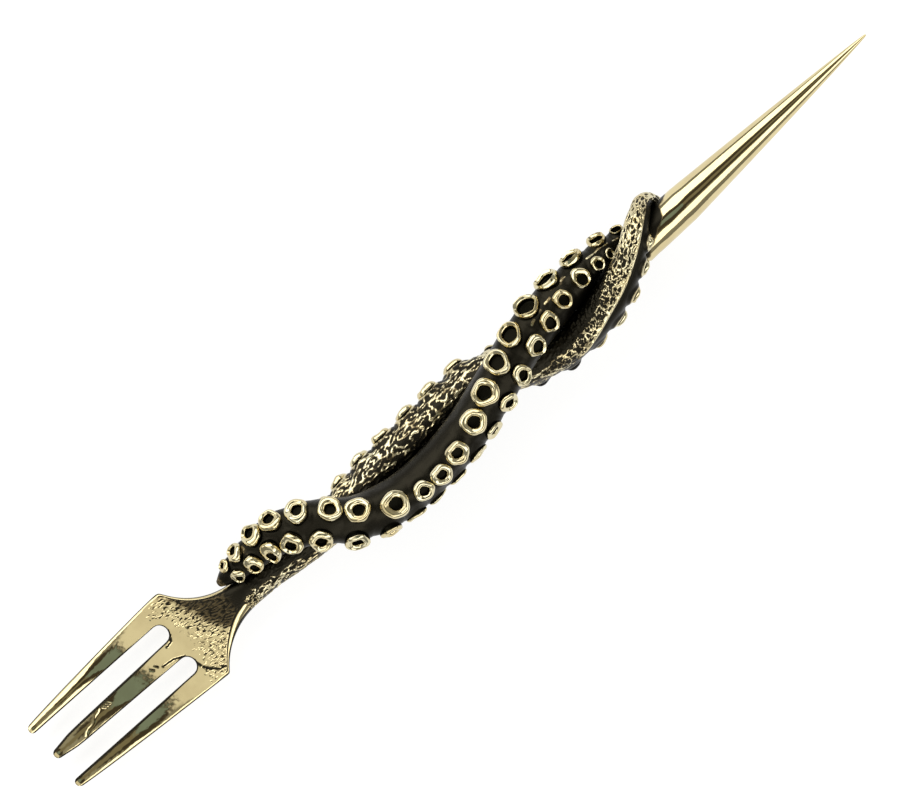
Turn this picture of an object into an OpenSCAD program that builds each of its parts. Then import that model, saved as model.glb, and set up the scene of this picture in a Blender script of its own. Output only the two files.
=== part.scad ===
// Cast brass fork and pick with a handle of two entwined tentacles, lying face up on a table.
// Stations along the handle are counted from the neck joint, where the fork meets the rear tentacle.

/* [Fork] */
// Length from the middle tine's tip to the end face of the neck
fork_len = 40.5; // [39:0.5:42]
// Width across the shoulders, the widest place
fork_w = 17.1; // [16:0.1:18.5]
// Width across the tips of the outer tines
tip_w = 12.4; // [12.2:0.1:13]
// Length of the slots between the tines, from the middle tip
tine_len = 26.3; // [24:0.1:27]
// Length by which the outer tines reach past the middle one
outer_reach = 0.4; // [0:0.1:0.8]
// Radius of the round slot ends
slot_end_r = 1.4; // [1:0.1:1.4]
// Thickness of the plate at the tine roots
plate_t = 2.2; // [1.8:0.1:2.6]
// Diameter of the round neck
neck_d = 5.3; // [4.8:0.1:5.6]

/* [Pick] */
// Length from the shoulder to the point
pick_len = 48.5; // [40:0.5:60]
// Diameter of the shank
pick_d = 6.3; // [5.6:0.1:6.6]
// Diameter of the blunted point
point_d = 0.3; // [0.2:0.1:0.8]
// Diameter of the tang inside the handle
tang_d = 2.2; // [1.6:0.1:2.6]
// Length of the tang
tang_len = 9; // [5:0.5:11]

/* [Tentacles] */
// Length of the handle between the neck joint and the pick's shoulder
handle_len = 81; // [78:0.5:86]
// Thickest diameter of the front tentacle
front_d = 7.2; // [6.4:0.1:7.2]
// Thickest diameter of the rear tentacle
rear_d = 6.9; // [6.2:0.1:6.9]
// Corners around a tentacle
sides = 24; // [16:2:32]
// Rings between two points of a route
rings = 6; // [4:1:8]

/* [Suckers] */
// Hole of a sucker over its outer diameter
hole_ratio = 0.46; // [0.4:0.02:0.56]
// Outer diameter of a rear sucker over the tentacle's radius there
rear_ratio = 1.08; // [0.9:0.02:1.14]
// Step between rear suckers over the tentacle's radius there
rear_step = 1.5; // [1.45:0.05:2]
// Depth of a sucker's seat below the tentacle's skin
seat_depth = 0.12; // [0.08:0.02:0.2]

/* [Neck joint] */
// Diameter of the fork's tenon
tenon_d = 2.5; // [2:0.1:3]
// Length of the tenon
tenon_len = 6; // [4:0.5:8]
// Gap for braze around and beyond the tenon
braze_gap = 0.05; // [0.02:0.01:0.1]

/* [Hidden] */
$fn = 48;

BRASS = "#c8b37c";
BRIGHT_BRASS = "#d9c690";
BLACKENED = "#3b362b";

// Datum of the row: middle of the length, middle of the width, table under the tines and the handle
overall_len = outer_reach + fork_len + handle_len + pick_len;
datum = [outer_reach - overall_len / 2, 0.97, -0.03];

// Routes of the centre lines as points [station, y, z]
NOMINAL_HANDLE = 81;
FRONT_ROUTE = [[-3, 3.1, 5.6], [3, 3.2, 7.9], [9, 2.75, 9.3], [14, 0.6, 10.8], [20, -3.6, 11],
    [27, -5.6, 10.2], [34, -5.8, 9.8], [42, -4.65, 10.6], [50, -2.4, 11.6], [58, -0.1, 11], [66, 1.15, 9.3],
    [74, 1.5, 7.1], [79, 1.4, 4.5], [83, 0.6, 2.9], [88, -2.3, 3.6]];
REAR_ROUTE = [[0, -0.65, 4.3], [4, -0.65, 4.3], [10, -1.25, 4.3], [17, -1.4, 4.3], [28, -0.45, 5.3],
    [38, 0, 5.5], [47, 0.2, 4.7], [51, -0.9, 4.5], [55, -3.1, 4.6], [62, -5, 6], [69, -4.9, 8.5],
    [75, -3.4, 10.7], [80, -0.7, 12.2], [84, 2.3, 10.9], [86.5, 3.4, 7.4], [88.3, 1.3, 3.8]];

// Way the sucker face looks, [station, degrees from up toward +Y]
FRONT_TURN = [[-3, 5], [9, 5], [19, -22], [26, -54], [34, -67], [44, -38], [54, -6], [61, 10], [69, 31],
    [76, 25], [88, 0]];
REAR_TURN = [[0, 150], [18, 140], [36, 130], [44, 138], [51, 164], [58, 186], [66, 190], [71, 207], [75, 217],
    [79, 227], [82, 236], [88.3, 244]];

// Hand-set cups of the front tentacle, [station, outer diameter, degrees of lean toward the fork]
FRONT_LEFT_CUPS = [[-0.1, 2.2, 10], [2.5, 3, 5], [6.1, 3.6, 5], [9.4, 3.8, 0], [13, 4.1, 0], [16.6, 4.1, 0],
    [20.2, 4.2, 0], [25.4, 4.7, 0], [30.3, 3.5, 0], [34.3, 3.7, 0], [38.6, 4, 0], [44, 4.4, 0],
    [48.4, 4.6, 0], [52.6, 4.4, 0], [56.8, 4.2, 0], [61.4, 4.3, 0], [66.5, 4.2, 0], [71.4, 4, 0],
    [76, 3.2, 0], [79.4, 2.2, 0]];
FRONT_RIGHT_CUPS = [[0.6, 2, 12], [3.7, 3.1, 13], [7.1, 3.5, 12], [11.3, 3.8, 6], [15.3, 4, 0], [19.3, 4, 0],
    [23.6, 3.9, 0], [27.7, 3.7, 0], [31.5, 3.5, 0], [35.5, 3.5, 0], [40, 3.6, 0], [44.2, 3.6, 0],
    [48.8, 3.6, 0], [53, 3.6, 0], [57.7, 3.6, 0], [61.7, 3.4, 0], [65.6, 3.2, 0], [70, 3.3, 0],
    [73.4, 2.4, 0], [75.6, 1.8, 0]];

// Stations between which the rear rows of cups run; the left one ends where it reaches the pick
REAR_LEFT_SPAN = [4.1, 70.5];
REAR_RIGHT_SPAN = [4.4, 82];

// Cup profile as shares of the outer radius
FOOT = 0.86;
RIM_R = 0.27;
RIM_RISE = 0.32;
CUP_FLOOR = 0.06;

// Fork, seen from the side: [distance from the middle tip, height of the mid plane, half the thickness]
half_t = plate_t / 2;
FORK_SIDE = [[-1, 3.9, 0.4 * half_t], [6, 2.3, 0.75 * half_t], [13, 1.25, 0.95 * half_t],
    [20, 1.3, half_t], [27, 2.25, 1.05 * half_t], [33, 3.5, 1.5 * half_t], [37.5, 4.2, 0.45 * neck_d],
    [fork_len, 4.3, neck_d / 2]];
SHOULDER_X = 29.2;
NECK_X = fork_len - 1;
NECK_Y = REAR_ROUTE[0][1];
TIP_R = 0.7;
FORK_CORNERS = 40;
NECK_STATIONS = [for (x = [30:39]) x];
FORK_STATIONS = concat([-1, 1, 3, 6, 10, 14, 18, 22, 25, 27, 28.4, SHOULDER_X], NECK_STATIONS, [fork_len]);

// Pick: shoulder on the handle's axis, turned a little to the left
PICK_AT = [fork_len + handle_len, -1.05, 7.3];
PICK_YAW = 1.2;
SHANK_LEN = 9.5;
SHOULDER_LEN = 4.5;
TAPER_POWER = 0.85;
TAPER_STEPS = 24;

// Value of a table at s, on a smooth curve through its rows
function span(t, s, i = 0) = i >= len(t) - 2 || s < t[i + 1][0] ? i : span(t, s, i + 1);
function slope(t, i) =
    let (a = t[max(i - 1, 0)], b = t[min(i + 1, len(t) - 1)])
    (b - a) / (b[0] - a[0]);
function curve(t, s) =
    let (i = span(t, s), w = t[i + 1][0] - t[i][0], u = (s - t[i][0]) / w)
    t[i] * (1 + 2 * u) * (1 - u) ^ 2 + slope(t, i) * w * u * (1 - u) ^ 2
        + t[i + 1] * u ^ 2 * (3 - 2 * u) - slope(t, i + 1) * w * u ^ 2 * (1 - u);

function unit(v) = v / norm(v);
function clamp(x) = max(0, min(1, x));
function bulge(u, power) = max(0, 1 - u * u) ^ power;

// Centre line, heading and cross frame of a tentacle
function route(front) = front ? FRONT_ROUTE : REAR_ROUTE;
function last(t) = t[len(t) - 1];
function centre(front, s) =
    let (p = curve(route(front), s))
    [fork_len + p[0] * handle_len / NOMINAL_HANDLE, p[1], p[2]];
function heading(front, s) =
    let (t = route(front))
    unit(centre(front, min(s + 0.05, last(t)[0])) - centre(front, max(s - 0.05, t[0][0])));
function upward(h) = unit([0, 0, 1] - h[2] * h);
function around(h, a) =
    let (u = upward(h))
    cos(a) * u + sin(a) * cross(u, h);

// Taper of the tentacles: a blunt tip on the neck, slim tips round the pick
function front_radius(s) =
    front_d / 2 * (s < 19 ? bulge((19 - s) / 22.4, 0.5) : bulge(max(0, s - 58) / 30.6, 1));
function rear_radius(s) =
    s < 45 ? neck_d / 2 + (rear_d - neck_d) / 2 * sin(2 * s) : rear_d / 2 * bulge((s - 45) / 43.6, 0.4);
function radius(front, s) = front ? front_radius(s) : rear_radius(s);

// Sucker face: where it looks, how flat it is, and how far each row lies from its middle
function turn(front, s) = curve(front ? FRONT_TURN : REAR_TURN, s)[1];
function flatness(front, s) = front ? 0.25 - 0.17 * clamp((s - 10) / 14) : 0.08;
function spread(front, s) = front ? 45 - 10 * clamp((s - 34) / 12) + 5 * clamp((s - 64) / 12) : 37;
function skin(front, s, a) =
    radius(front, s) * (1 - flatness(front, s) * max(0, cos(a - turn(front, s))) ^ 2);

// Tentacle as rings of points along its route, with a point on each closed tip
function stations(t) = concat([for (i = [0:len(t) - 2]) for (k = [0:rings - 1])
    t[i][0] + (t[i + 1][0] - t[i][0]) * k / rings], [last(t)[0]]);
function ring(front, s) = [for (k = [0:sides - 1])
    let (a = 360 * k / sides)
    centre(front, s) + skin(front, s, a) * around(heading(front, s), a)];
function wall(count) = [for (i = [0:count - 2]) for (k = [0:sides - 1])
    let (a = i * sides + k, b = i * sides + (k + 1) % sides)
    each [[a, b, b + sides], [a, b + sides, a + sides]]];
function cap(first, tip, flip) = [for (k = [0:sides - 1])
    let (a = first + k, b = first + (k + 1) % sides)
    flip ? [a, tip, b] : [a, b, tip]];

module tentacle(front) {
    along = stations(route(front));
    count = len(along);
    start = along[0];
    end = along[count - 1];
    start_bulge = front ? 0.6 * radius(front, start) : 0;
    tips = [centre(front, start) - start_bulge * heading(front, start),
        centre(front, end) + 0.6 * radius(front, end) * heading(front, end)];
    points = concat([for (s = along) each ring(front, s)], tips);
    start_cap = cap(0, count * sides, true);
    end_cap = cap((count - 1) * sides, count * sides + 1, false);
    polyhedron(points, concat(wall(count), start_cap, end_cap));
}

// Cups of one row, on side 1 or -1 of the face's middle: hand-set in front, graded by the taper at the rear
function graded(s, end) = s > end ? [] :
    let (next = s + rear_step * rear_radius(s) * heading(false, s)[0])
    concat([[s, rear_ratio * rear_radius(s), 0]], graded(next, end));
function rear_cups(limits) = graded(limits[0], limits[1]);
function cups(front, side) = front
    ? (side > 0 ? FRONT_LEFT_CUPS : FRONT_RIGHT_CUPS)
    : rear_cups(side > 0 ? REAR_RIGHT_SPAN : REAR_LEFT_SPAN);

// Depth of a flat seat under a cup of diameter d on the round skin
function sink(front, cup) =
    let (r = radius(front, cup[0]), f = FOOT * cup[1] / 2)
    r - sqrt(max(0, r * r - f * f)) + f * sin(cup[2]) + seat_depth;

// Puts a child on the skin, its axis square to the flattened face
module on_skin(front, side, cup) {
    s = cup[0];
    h = heading(front, s);
    spread_a = spread(front, s);
    flat = flatness(front, s);
    tilt = atan(flat * sin(2 * spread_a) / (1 - flat * cos(spread_a) ^ 2));
    seat_a = turn(front, s) + side * spread_a;
    at = centre(front, s) + skin(front, s, seat_a) * around(h, seat_a);
    axis = cos(cup[2]) * around(h, seat_a - side * tilt) - sin(cup[2]) * h;
    x = unit(h - (h * axis) * axis);
    y = cross(axis, x);
    multmatrix([for (i = [0:2]) [x[i], y[i], axis[i], at[i]]]) children();
}

module cup_body(r, depth) {
    rotate_extrude()
        difference() {
            union() {
                translate([(1 - RIM_R) * r, RIM_RISE * r]) circle(RIM_R * r);
                translate([0, -depth]) square([FOOT * r, depth + RIM_RISE * r]);
            }
            translate([-r, CUP_FLOOR * r]) square([(1 + hole_ratio) * r, r]);
        }
}

module sucker_row(front, side) {
    translate(datum)
        for (cup = cups(front, side))
            on_skin(front, side, cup) cup_body(cup[1] / 2, sink(front, cup));
}

// Spot faces that the cups of one row stand in
module seats(front, side) {
    for (cup = cups(front, side))
        on_skin(front, side, cup)
            translate([0, 0, -sink(front, cup)]) cylinder(r = FOOT * cup[1] / 2, h = 2 * cup[1]);
}

// Outline of the fork's edge at x on one side: convex along the tines, an arc from shoulder to neck
function tine_edge(x) = (tip_w + (fork_w - tip_w) * max(0, x / SHOULDER_X) ^ 0.75) / 2;
function shoulder_edge(x, side) =
    let (end = side * NECK_Y + neck_d / 2, rise = fork_w / 2 - end, run = NECK_X - SHOULDER_X)
    let (r = (run * run + rise * rise) / (2 * rise), back = max(0, NECK_X - x))
    end + r - sqrt(r * r - back * back);
function edge(x, side) = x <= SHOULDER_X ? tine_edge(x) : shoulder_edge(x, side);

// Cross-section of the fork: a soft-edged strip at the tines, a circle at the neck
function power(v, p) = sign(v) * abs(v) ^ p;
function fork_ring(x) =
    let (left = edge(x, 1), right = edge(x, -1), side = curve(FORK_SIDE, x))
    let (round = 0.3 + 0.7 * clamp((x - SHOULDER_X) / (NECK_X - SHOULDER_X)) ^ 2)
    [for (k = [0:FORK_CORNERS - 1])
        let (a = 360 * k / FORK_CORNERS)
        let (y = (left - right) / 2 + (left + right) / 2 * power(cos(a), round))
        [x, y, side[1] + side[2] * power(sin(a), round)]];
function fork_wall(count) = [for (i = [0:count - 2]) for (k = [0:FORK_CORNERS - 1])
    let (a = i * FORK_CORNERS + k, b = i * FORK_CORNERS + (k + 1) % FORK_CORNERS)
    each [[a, b + FORK_CORNERS, b], [a, a + FORK_CORNERS, b + FORK_CORNERS]]];

module fork_plate() {
    count = len(FORK_STATIONS);
    n = FORK_CORNERS;
    front_face = [for (k = [0:n - 1]) k];
    back_face = [for (k = [n - 1:-1:0]) (count - 1) * n + k];
    points = [for (x = FORK_STATIONS) each fork_ring(x)];
    polyhedron(points, concat(fork_wall(count), [front_face, back_face]));
}

module tine(tip, waist, root) {
    hull() {
        translate([tip[0], tip[1]]) circle(tip[2]);
        translate([waist[0], waist[1]]) circle(waist[2]);
        translate([root[0], root[1]]) circle(root[2]);
    }
}

// Plan of the three tines and the palm, with round slot ends
module fork_plan() {
    outer_y = tip_w / 2 - TIP_R;
    inner_y = outer_y - TIP_R;
    offset(r = -slot_end_r)
        offset(r = slot_end_r) {
            tine([TIP_R, 0, TIP_R], [4, 0, 1.25], [tine_len, 0, 1.8]);
            for (side = [-1, 1])
                tine([TIP_R - outer_reach, side * outer_y, TIP_R], [6, side * (inner_y + 1.1), 1.1],
                    [tine_len, side * (inner_y + 2.2), 2.2]);
            translate([tine_len, -fork_w]) square([fork_len, 2 * fork_w]);
        }
}

module neck_tenon(gap) {
    translate([fork_len, NECK_Y, REAR_ROUTE[0][2]])
        rotate([0, 90, 0])
            cylinder(d = tenon_d + 2 * gap, h = tenon_len + gap);
}

module pick_body() {
    r = pick_d / 2;
    taper_len = pick_len - SHANK_LEN;
    taper = [for (k = [0:TAPER_STEPS])
        let (u = k / TAPER_STEPS)
        [point_d / 2 + (r - point_d / 2) * (1 - u) ^ TAPER_POWER, SHANK_LEN + taper_len * u]];
    start = -SHOULDER_LEN - tang_len;
    tang = [[0, start], [tang_d / 2, start], [tang_d / 2, -SHOULDER_LEN], [r, 0]];
    profile = concat(tang, taper, [[0, pick_len]]);
    translate(PICK_AT)
        rotate([0, 0, PICK_YAW])
            rotate([0, 90, 0])
                rotate_extrude() polygon(profile);
}

module fork_head() {
    color(BRASS) translate(datum) {
        intersection() {
            fork_plate();
            linear_extrude(4 * neck_d) fork_plan();
        }
        neck_tenon(0);
    }
}

module front_tentacle() {
    color(BLACKENED) translate(datum)
        difference() {
            tentacle(true);
            seats(true, 1);
            seats(true, -1);
            pick_body();
        }
}

module rear_tentacle() {
    color(BLACKENED) translate(datum)
        difference() {
            tentacle(false);
            seats(false, 1);
            seats(false, -1);
            neck_tenon(braze_gap);
            pick_body();
        }
}

module pick() {
    color(BRIGHT_BRASS) translate(datum) pick_body();
}

module front_left_suckers() {
    color(BRIGHT_BRASS) sucker_row(true, 1);
}

module front_right_suckers() {
    color(BRIGHT_BRASS) sucker_row(true, -1);
}

module rear_left_suckers() {
    color(BRASS) sucker_row(false, -1);
}

module rear_right_suckers() {
    color(BRASS) sucker_row(false, 1);
}

fork_head();
front_tentacle();
rear_tentacle();
pick();
front_left_suckers();
front_right_suckers();
rear_left_suckers();
rear_right_suckers();
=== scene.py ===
"""Looks of a cast brass fork and pick whose handle is two entwined tentacles.

Sizes are millimetres in the drawing's own axes: x runs from the tine tips to the pick's point, y to the left
and z up. Every mesh is shaped there, then moved onto the frame's datum and scaled to metres in one step.
A station is a place along a tentacle, counted in x from the neck joint.
"""

import logging
import math
import random
from abc import ABC, abstractmethod
from dataclasses import dataclass, field
from enum import Enum

import bmesh
import bpy
import numpy as np
from mathutils import Matrix, Vector, kdtree, noise


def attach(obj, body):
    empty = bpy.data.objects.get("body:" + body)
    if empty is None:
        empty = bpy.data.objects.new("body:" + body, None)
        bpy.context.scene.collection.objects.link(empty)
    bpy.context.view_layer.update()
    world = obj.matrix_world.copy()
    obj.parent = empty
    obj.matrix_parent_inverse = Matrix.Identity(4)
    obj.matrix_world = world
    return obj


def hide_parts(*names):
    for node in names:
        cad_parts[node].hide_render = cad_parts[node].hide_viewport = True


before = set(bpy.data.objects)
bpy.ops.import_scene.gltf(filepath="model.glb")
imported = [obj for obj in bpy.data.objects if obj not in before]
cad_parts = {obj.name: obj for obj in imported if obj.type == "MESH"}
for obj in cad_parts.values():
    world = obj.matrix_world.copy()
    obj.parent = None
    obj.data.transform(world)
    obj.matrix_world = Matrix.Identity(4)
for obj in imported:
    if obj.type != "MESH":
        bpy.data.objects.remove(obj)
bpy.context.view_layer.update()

log = logging.getLogger("fork_and_pick")

Colour = tuple[float, float, float, float]
Point = tuple[float, float, float]
Span = tuple[float, float]
Stroke = tuple[tuple[float, float], ...]

MM = 0.001
DATUM = Vector((-84.8, 0.97, -0.03))
SEAM_GAP = 1e-4
WALL_BENDS = 1.7
BODY = "root"
POLISH = "polish"
NET_SEED = 7


class Slot(Enum):
    """Material slots of the record."""

    POLISHED = "polished_brass"
    BLACKENED = "blackened_brass"
    SUCKER = "sucker_brass"


class Row(Enum):
    """Side of the sucker face that a row of cups stands on, as the sign of its angle."""

    LOW_ANGLE = -1
    HIGH_ANGLE = 1


def smoothstep(low: float | np.ndarray, high: float | np.ndarray, value: np.ndarray) -> np.ndarray:
    """Eases from 0 at low to 1 at high.

    Args:
        low: value at and below which the result is 0.
        high: value at and above which the result is 1.
        value: values to ease.

    Returns:
        Shares from 0 to 1, in the shape of value.
    """
    share = np.clip((value - low) / (high - low), 0.0, 1.0)
    return share * share * (3.0 - 2.0 * share)


def bell(value: np.ndarray, width: float) -> np.ndarray:
    """Bell curve that is 1 at 0 and falls to about a third at width."""
    return np.exp(-np.square(value / width))


def grain(points: np.ndarray) -> np.ndarray:
    """Smooth noise from about -1 to 1 at each of the points, an array of rows of three."""
    return np.array([noise.noise(place) for place in points.tolist()])


def net_distance(points: np.ndarray, bend: float) -> np.ndarray:
    """Distance from the walls of an irregular net of cells about 1 across.

    The walls' wander hangs on the seed of Blender's noise, which main sets.

    Args:
        points: places in cells, an array of rows of three.
        bend: how far the walls wander from straight, in cells.

    Returns:
        For each point, 0 on a wall and up to about 1 in the middle of a cell.
    """
    found = []
    for place in points.tolist():
        shift = noise.noise_vector([WALL_BENDS * part for part in place])
        near = noise.voronoi([part + bend * move for part, move in zip(place, shift)])[0]
        found.append(near[1] - near[0])
    return np.array(found)


def stroke_distance(x: np.ndarray, y: np.ndarray, stroke: Stroke) -> np.ndarray:
    """Distance in plan from each point to a line of straight runs.

    Args:
        x: first coordinates of the points.
        y: second coordinates of the points.
        stroke: corners of the line.

    Returns:
        The least distance to any run, in the shape of x.
    """
    least = np.full(x.shape, np.inf)
    for (ax, ay), (bx, by) in zip(stroke, stroke[1:]):
        run = (bx - ax) ** 2 + (by - ay) ** 2
        share = np.clip(((x - ax) * (bx - ax) + (y - ay) * (by - ay)) / run, 0.0, 1.0)
        least = np.minimum(least, np.hypot(x - ax - share * (bx - ax), y - ay - share * (by - ay)))
    return least


def run_lengths(points: np.ndarray) -> np.ndarray:
    """Length along a line of points, an array of rows of three, from 0 at the first."""
    return np.concatenate([[0.0], np.cumsum(np.linalg.norm(np.diff(points, axis=0), axis=1))])


def grid_places(bm: bmesh.types.BMesh, rows: int, columns: int) -> tuple[np.ndarray, np.ndarray]:
    """Starts a bmesh as a grid.

    Args:
        bm: empty bmesh.
        rows: vertices along the grid.
        columns: vertices across the grid.

    Returns:
        The row and the column of each vertex, in the vertices' order.
    """
    bmesh.ops.create_grid(bm, x_segments=rows - 1, y_segments=columns - 1, size=1.0)
    places = np.array([vert.co for vert in bm.verts])
    row = np.rint((places[:, 0] + 1) / 2 * (rows - 1)).astype(int)
    column = np.rint((places[:, 1] + 1) / 2 * (columns - 1)).astype(int)
    return row, column


def spin_section(bm: bmesh.types.BMesh, section: list[Point], axis: Point, steps: int) -> None:
    """Spins a half section once round an axis through the origin, as a closed shell.

    Args:
        bm: empty bmesh.
        section: points of the half section, which starts and ends on the axis.
        axis: direction of the axis.
        steps: points round the shell.
    """
    verts = [bm.verts.new(point) for point in section]
    edges = [bm.edges.new(pair) for pair in zip(verts, verts[1:])]
    bmesh.ops.spin(
        bm,
        geom=verts + edges,
        cent=(0, 0, 0),
        axis=axis,
        dvec=(0, 0, 0),
        angle=math.tau,
        steps=steps,
        use_merge=True,
    )
    bmesh.ops.remove_doubles(bm, verts=bm.verts, dist=SEAM_GAP)
    bmesh.ops.recalc_face_normals(bm, faces=bm.faces)


def set_points(
    verts: list[bmesh.types.BMVert],
    layer: bmesh.types.BMLayerItem,
    points: np.ndarray,
    polish: np.ndarray,
) -> None:
    """Moves vertices and gives them their polish.

    Args:
        verts: the vertices.
        layer: the layer that holds the polish.
        points: place of each vertex, an array of rows of three.
        polish: polish of each vertex, from 0 to 1.
    """
    for vert, point, value in zip(verts, points.tolist(), polish.tolist()):
        vert.co = point
        vert[layer] = value


def place_object(name: str, data: bpy.types.ID) -> bpy.types.Object:
    """Makes an object and links it to the scene.

    Args:
        name: name of the object.
        data: its mesh, lamp or camera.

    Returns:
        The object, at the origin.
    """
    obj = bpy.data.objects.new(name, data)
    bpy.context.scene.collection.objects.link(obj)
    return obj


@dataclass(frozen=True)
class Table:
    """A smooth curve through given rows, each led by its station.

    Attributes:
        rows: rows of numbers, in order of their first, the station.
    """

    rows: tuple[tuple[float, ...], ...]

    @property
    def start(self) -> float:
        """Station of the first row."""
        return self.rows[0][0]

    @property
    def end(self) -> float:
        """Station of the last row."""
        return self.rows[-1][0]

    def at(self, stations: np.ndarray) -> np.ndarray:
        """Reads the curve.

        Args:
            stations: where to read it, an array of any one-dimensional length.

        Returns:
            One row for each station, the station first.
        """
        rows = np.array(self.rows, float)
        order = np.arange(len(rows))
        before, after = rows[np.maximum(order - 1, 0)], rows[np.minimum(order + 1, len(rows) - 1)]
        slope = (after - before) / (after[:, :1] - before[:, :1])
        k = np.clip(np.searchsorted(rows[:, 0], stations, side="right") - 1, 0, len(rows) - 2)
        wide = (rows[k + 1, 0] - rows[k, 0])[:, None]
        u = ((stations - rows[k, 0]) / wide[:, 0])[:, None]
        rise = rows[k] * (1 + 2 * u) * (1 - u) ** 2 + slope[k] * wide * u * (1 - u) ** 2
        return rise + rows[k + 1] * u**2 * (3 - 2 * u) - slope[k + 1] * wide * u**2 * (1 - u)

    def value(self, stations: np.ndarray) -> np.ndarray:
        """Second number of the curve's rows at stations."""
        return self.at(stations)[:, 1]


@dataclass(frozen=True)
class Ramp:
    """A value that runs straight between given rows and is level past the first and the last.

    Attributes:
        rows: rows of station and value.
    """

    rows: tuple[tuple[float, float], ...]

    def value(self, stations: np.ndarray | float) -> np.ndarray | float:
        """Value at stations."""
        return np.interp(stations, *zip(*self.rows))


@dataclass(frozen=True)
class Ease:
    """A value that eases from one level to another.

    Attributes:
        stations: where it leaves the first level and where it reaches the second.
        levels: the two levels.
    """

    stations: Span
    levels: Span

    def value(self, stations: np.ndarray) -> np.ndarray:
        """Value at stations."""
        share = smoothstep(*self.stations, stations)
        return (1 - share) * self.levels[0] + share * self.levels[1]


Course = Table | Ramp | Ease
NOWHERE = Ramp(((0, 0),))


class NodeSheet:
    """Adds nodes to a node tree and joins them.

    Attributes:
        tree: the node tree that is drawn on.
    """

    def __init__(self, tree: bpy.types.NodeTree) -> None:
        """Keeps the tree to draw on."""
        self.tree = tree

    @classmethod
    def emptied(cls, owner: bpy.types.Material | bpy.types.World) -> "NodeSheet":
        """Clears the nodes of a material or a world.

        Args:
            owner: the material or world.

        Returns:
            A sheet on its empty node tree.
        """
        owner.use_nodes = True
        owner.node_tree.nodes.clear()
        return cls(owner.node_tree)

    def feed(self, socket: bpy.types.NodeSocket, value: object) -> None:
        """Joins an input to an output socket, or sets it to a plain value.

        Args:
            socket: the input.
            value: the output socket or the value.
        """
        if isinstance(value, bpy.types.NodeSocket):
            self.tree.links.new(value, socket)
        else:
            socket.default_value = value

    def add(self, kind: str, inputs: dict | None = None, **settings: object) -> bpy.types.Node:
        """Adds one node.

        Args:
            kind: type name of the node.
            inputs: values, or output sockets to join, by the input's name or number.
            settings: properties of the node.

        Returns:
            The new node.
        """
        node = self.tree.nodes.new(kind)
        for key, value in settings.items():
            setattr(node, key, value)
        for key, value in (inputs or {}).items():
            self.feed(node.inputs[key], value)
        return node

    def math(self, operation: str, first: object, second: object) -> bpy.types.NodeSocket:
        """Adds a math node on two values or sockets and returns its output."""
        return self.add("ShaderNodeMath", {0: first, 1: second}, operation=operation).outputs[0]

    def spread(self, value: bpy.types.NodeSocket, source: Span, target: Span) -> bpy.types.NodeSocket:
        """Maps a value smoothly from one range to another.

        Args:
            value: socket of the value.
            source: ends of the range that it has.
            target: what the two ends turn into.

        Returns:
            Socket of the mapped value.
        """
        ends = dict(zip(("From Min", "From Max", "To Min", "To Max"), (*source, *target)))
        node = self.add("ShaderNodeMapRange", {"Value": value, **ends}, interpolation_type="SMOOTHSTEP")
        return node.outputs["Result"]

    def mix(self, share: object, first: object, second: object) -> bpy.types.NodeSocket:
        """Mixes two colours.

        Args:
            share: value or socket of the second colour's share.
            first: colour or socket at a share of 0.
            second: colour or socket at a share of 1.

        Returns:
            Socket of the mixed colour.
        """
        node = self.add("ShaderNodeMix", data_type="RGBA")
        for name, value in (("Factor_Float", share), ("A_Color", first), ("B_Color", second)):
            self.feed(next(socket for socket in node.inputs if socket.identifier == name), value)
        return next(socket for socket in node.outputs if socket.identifier == "Result_Color")


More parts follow.
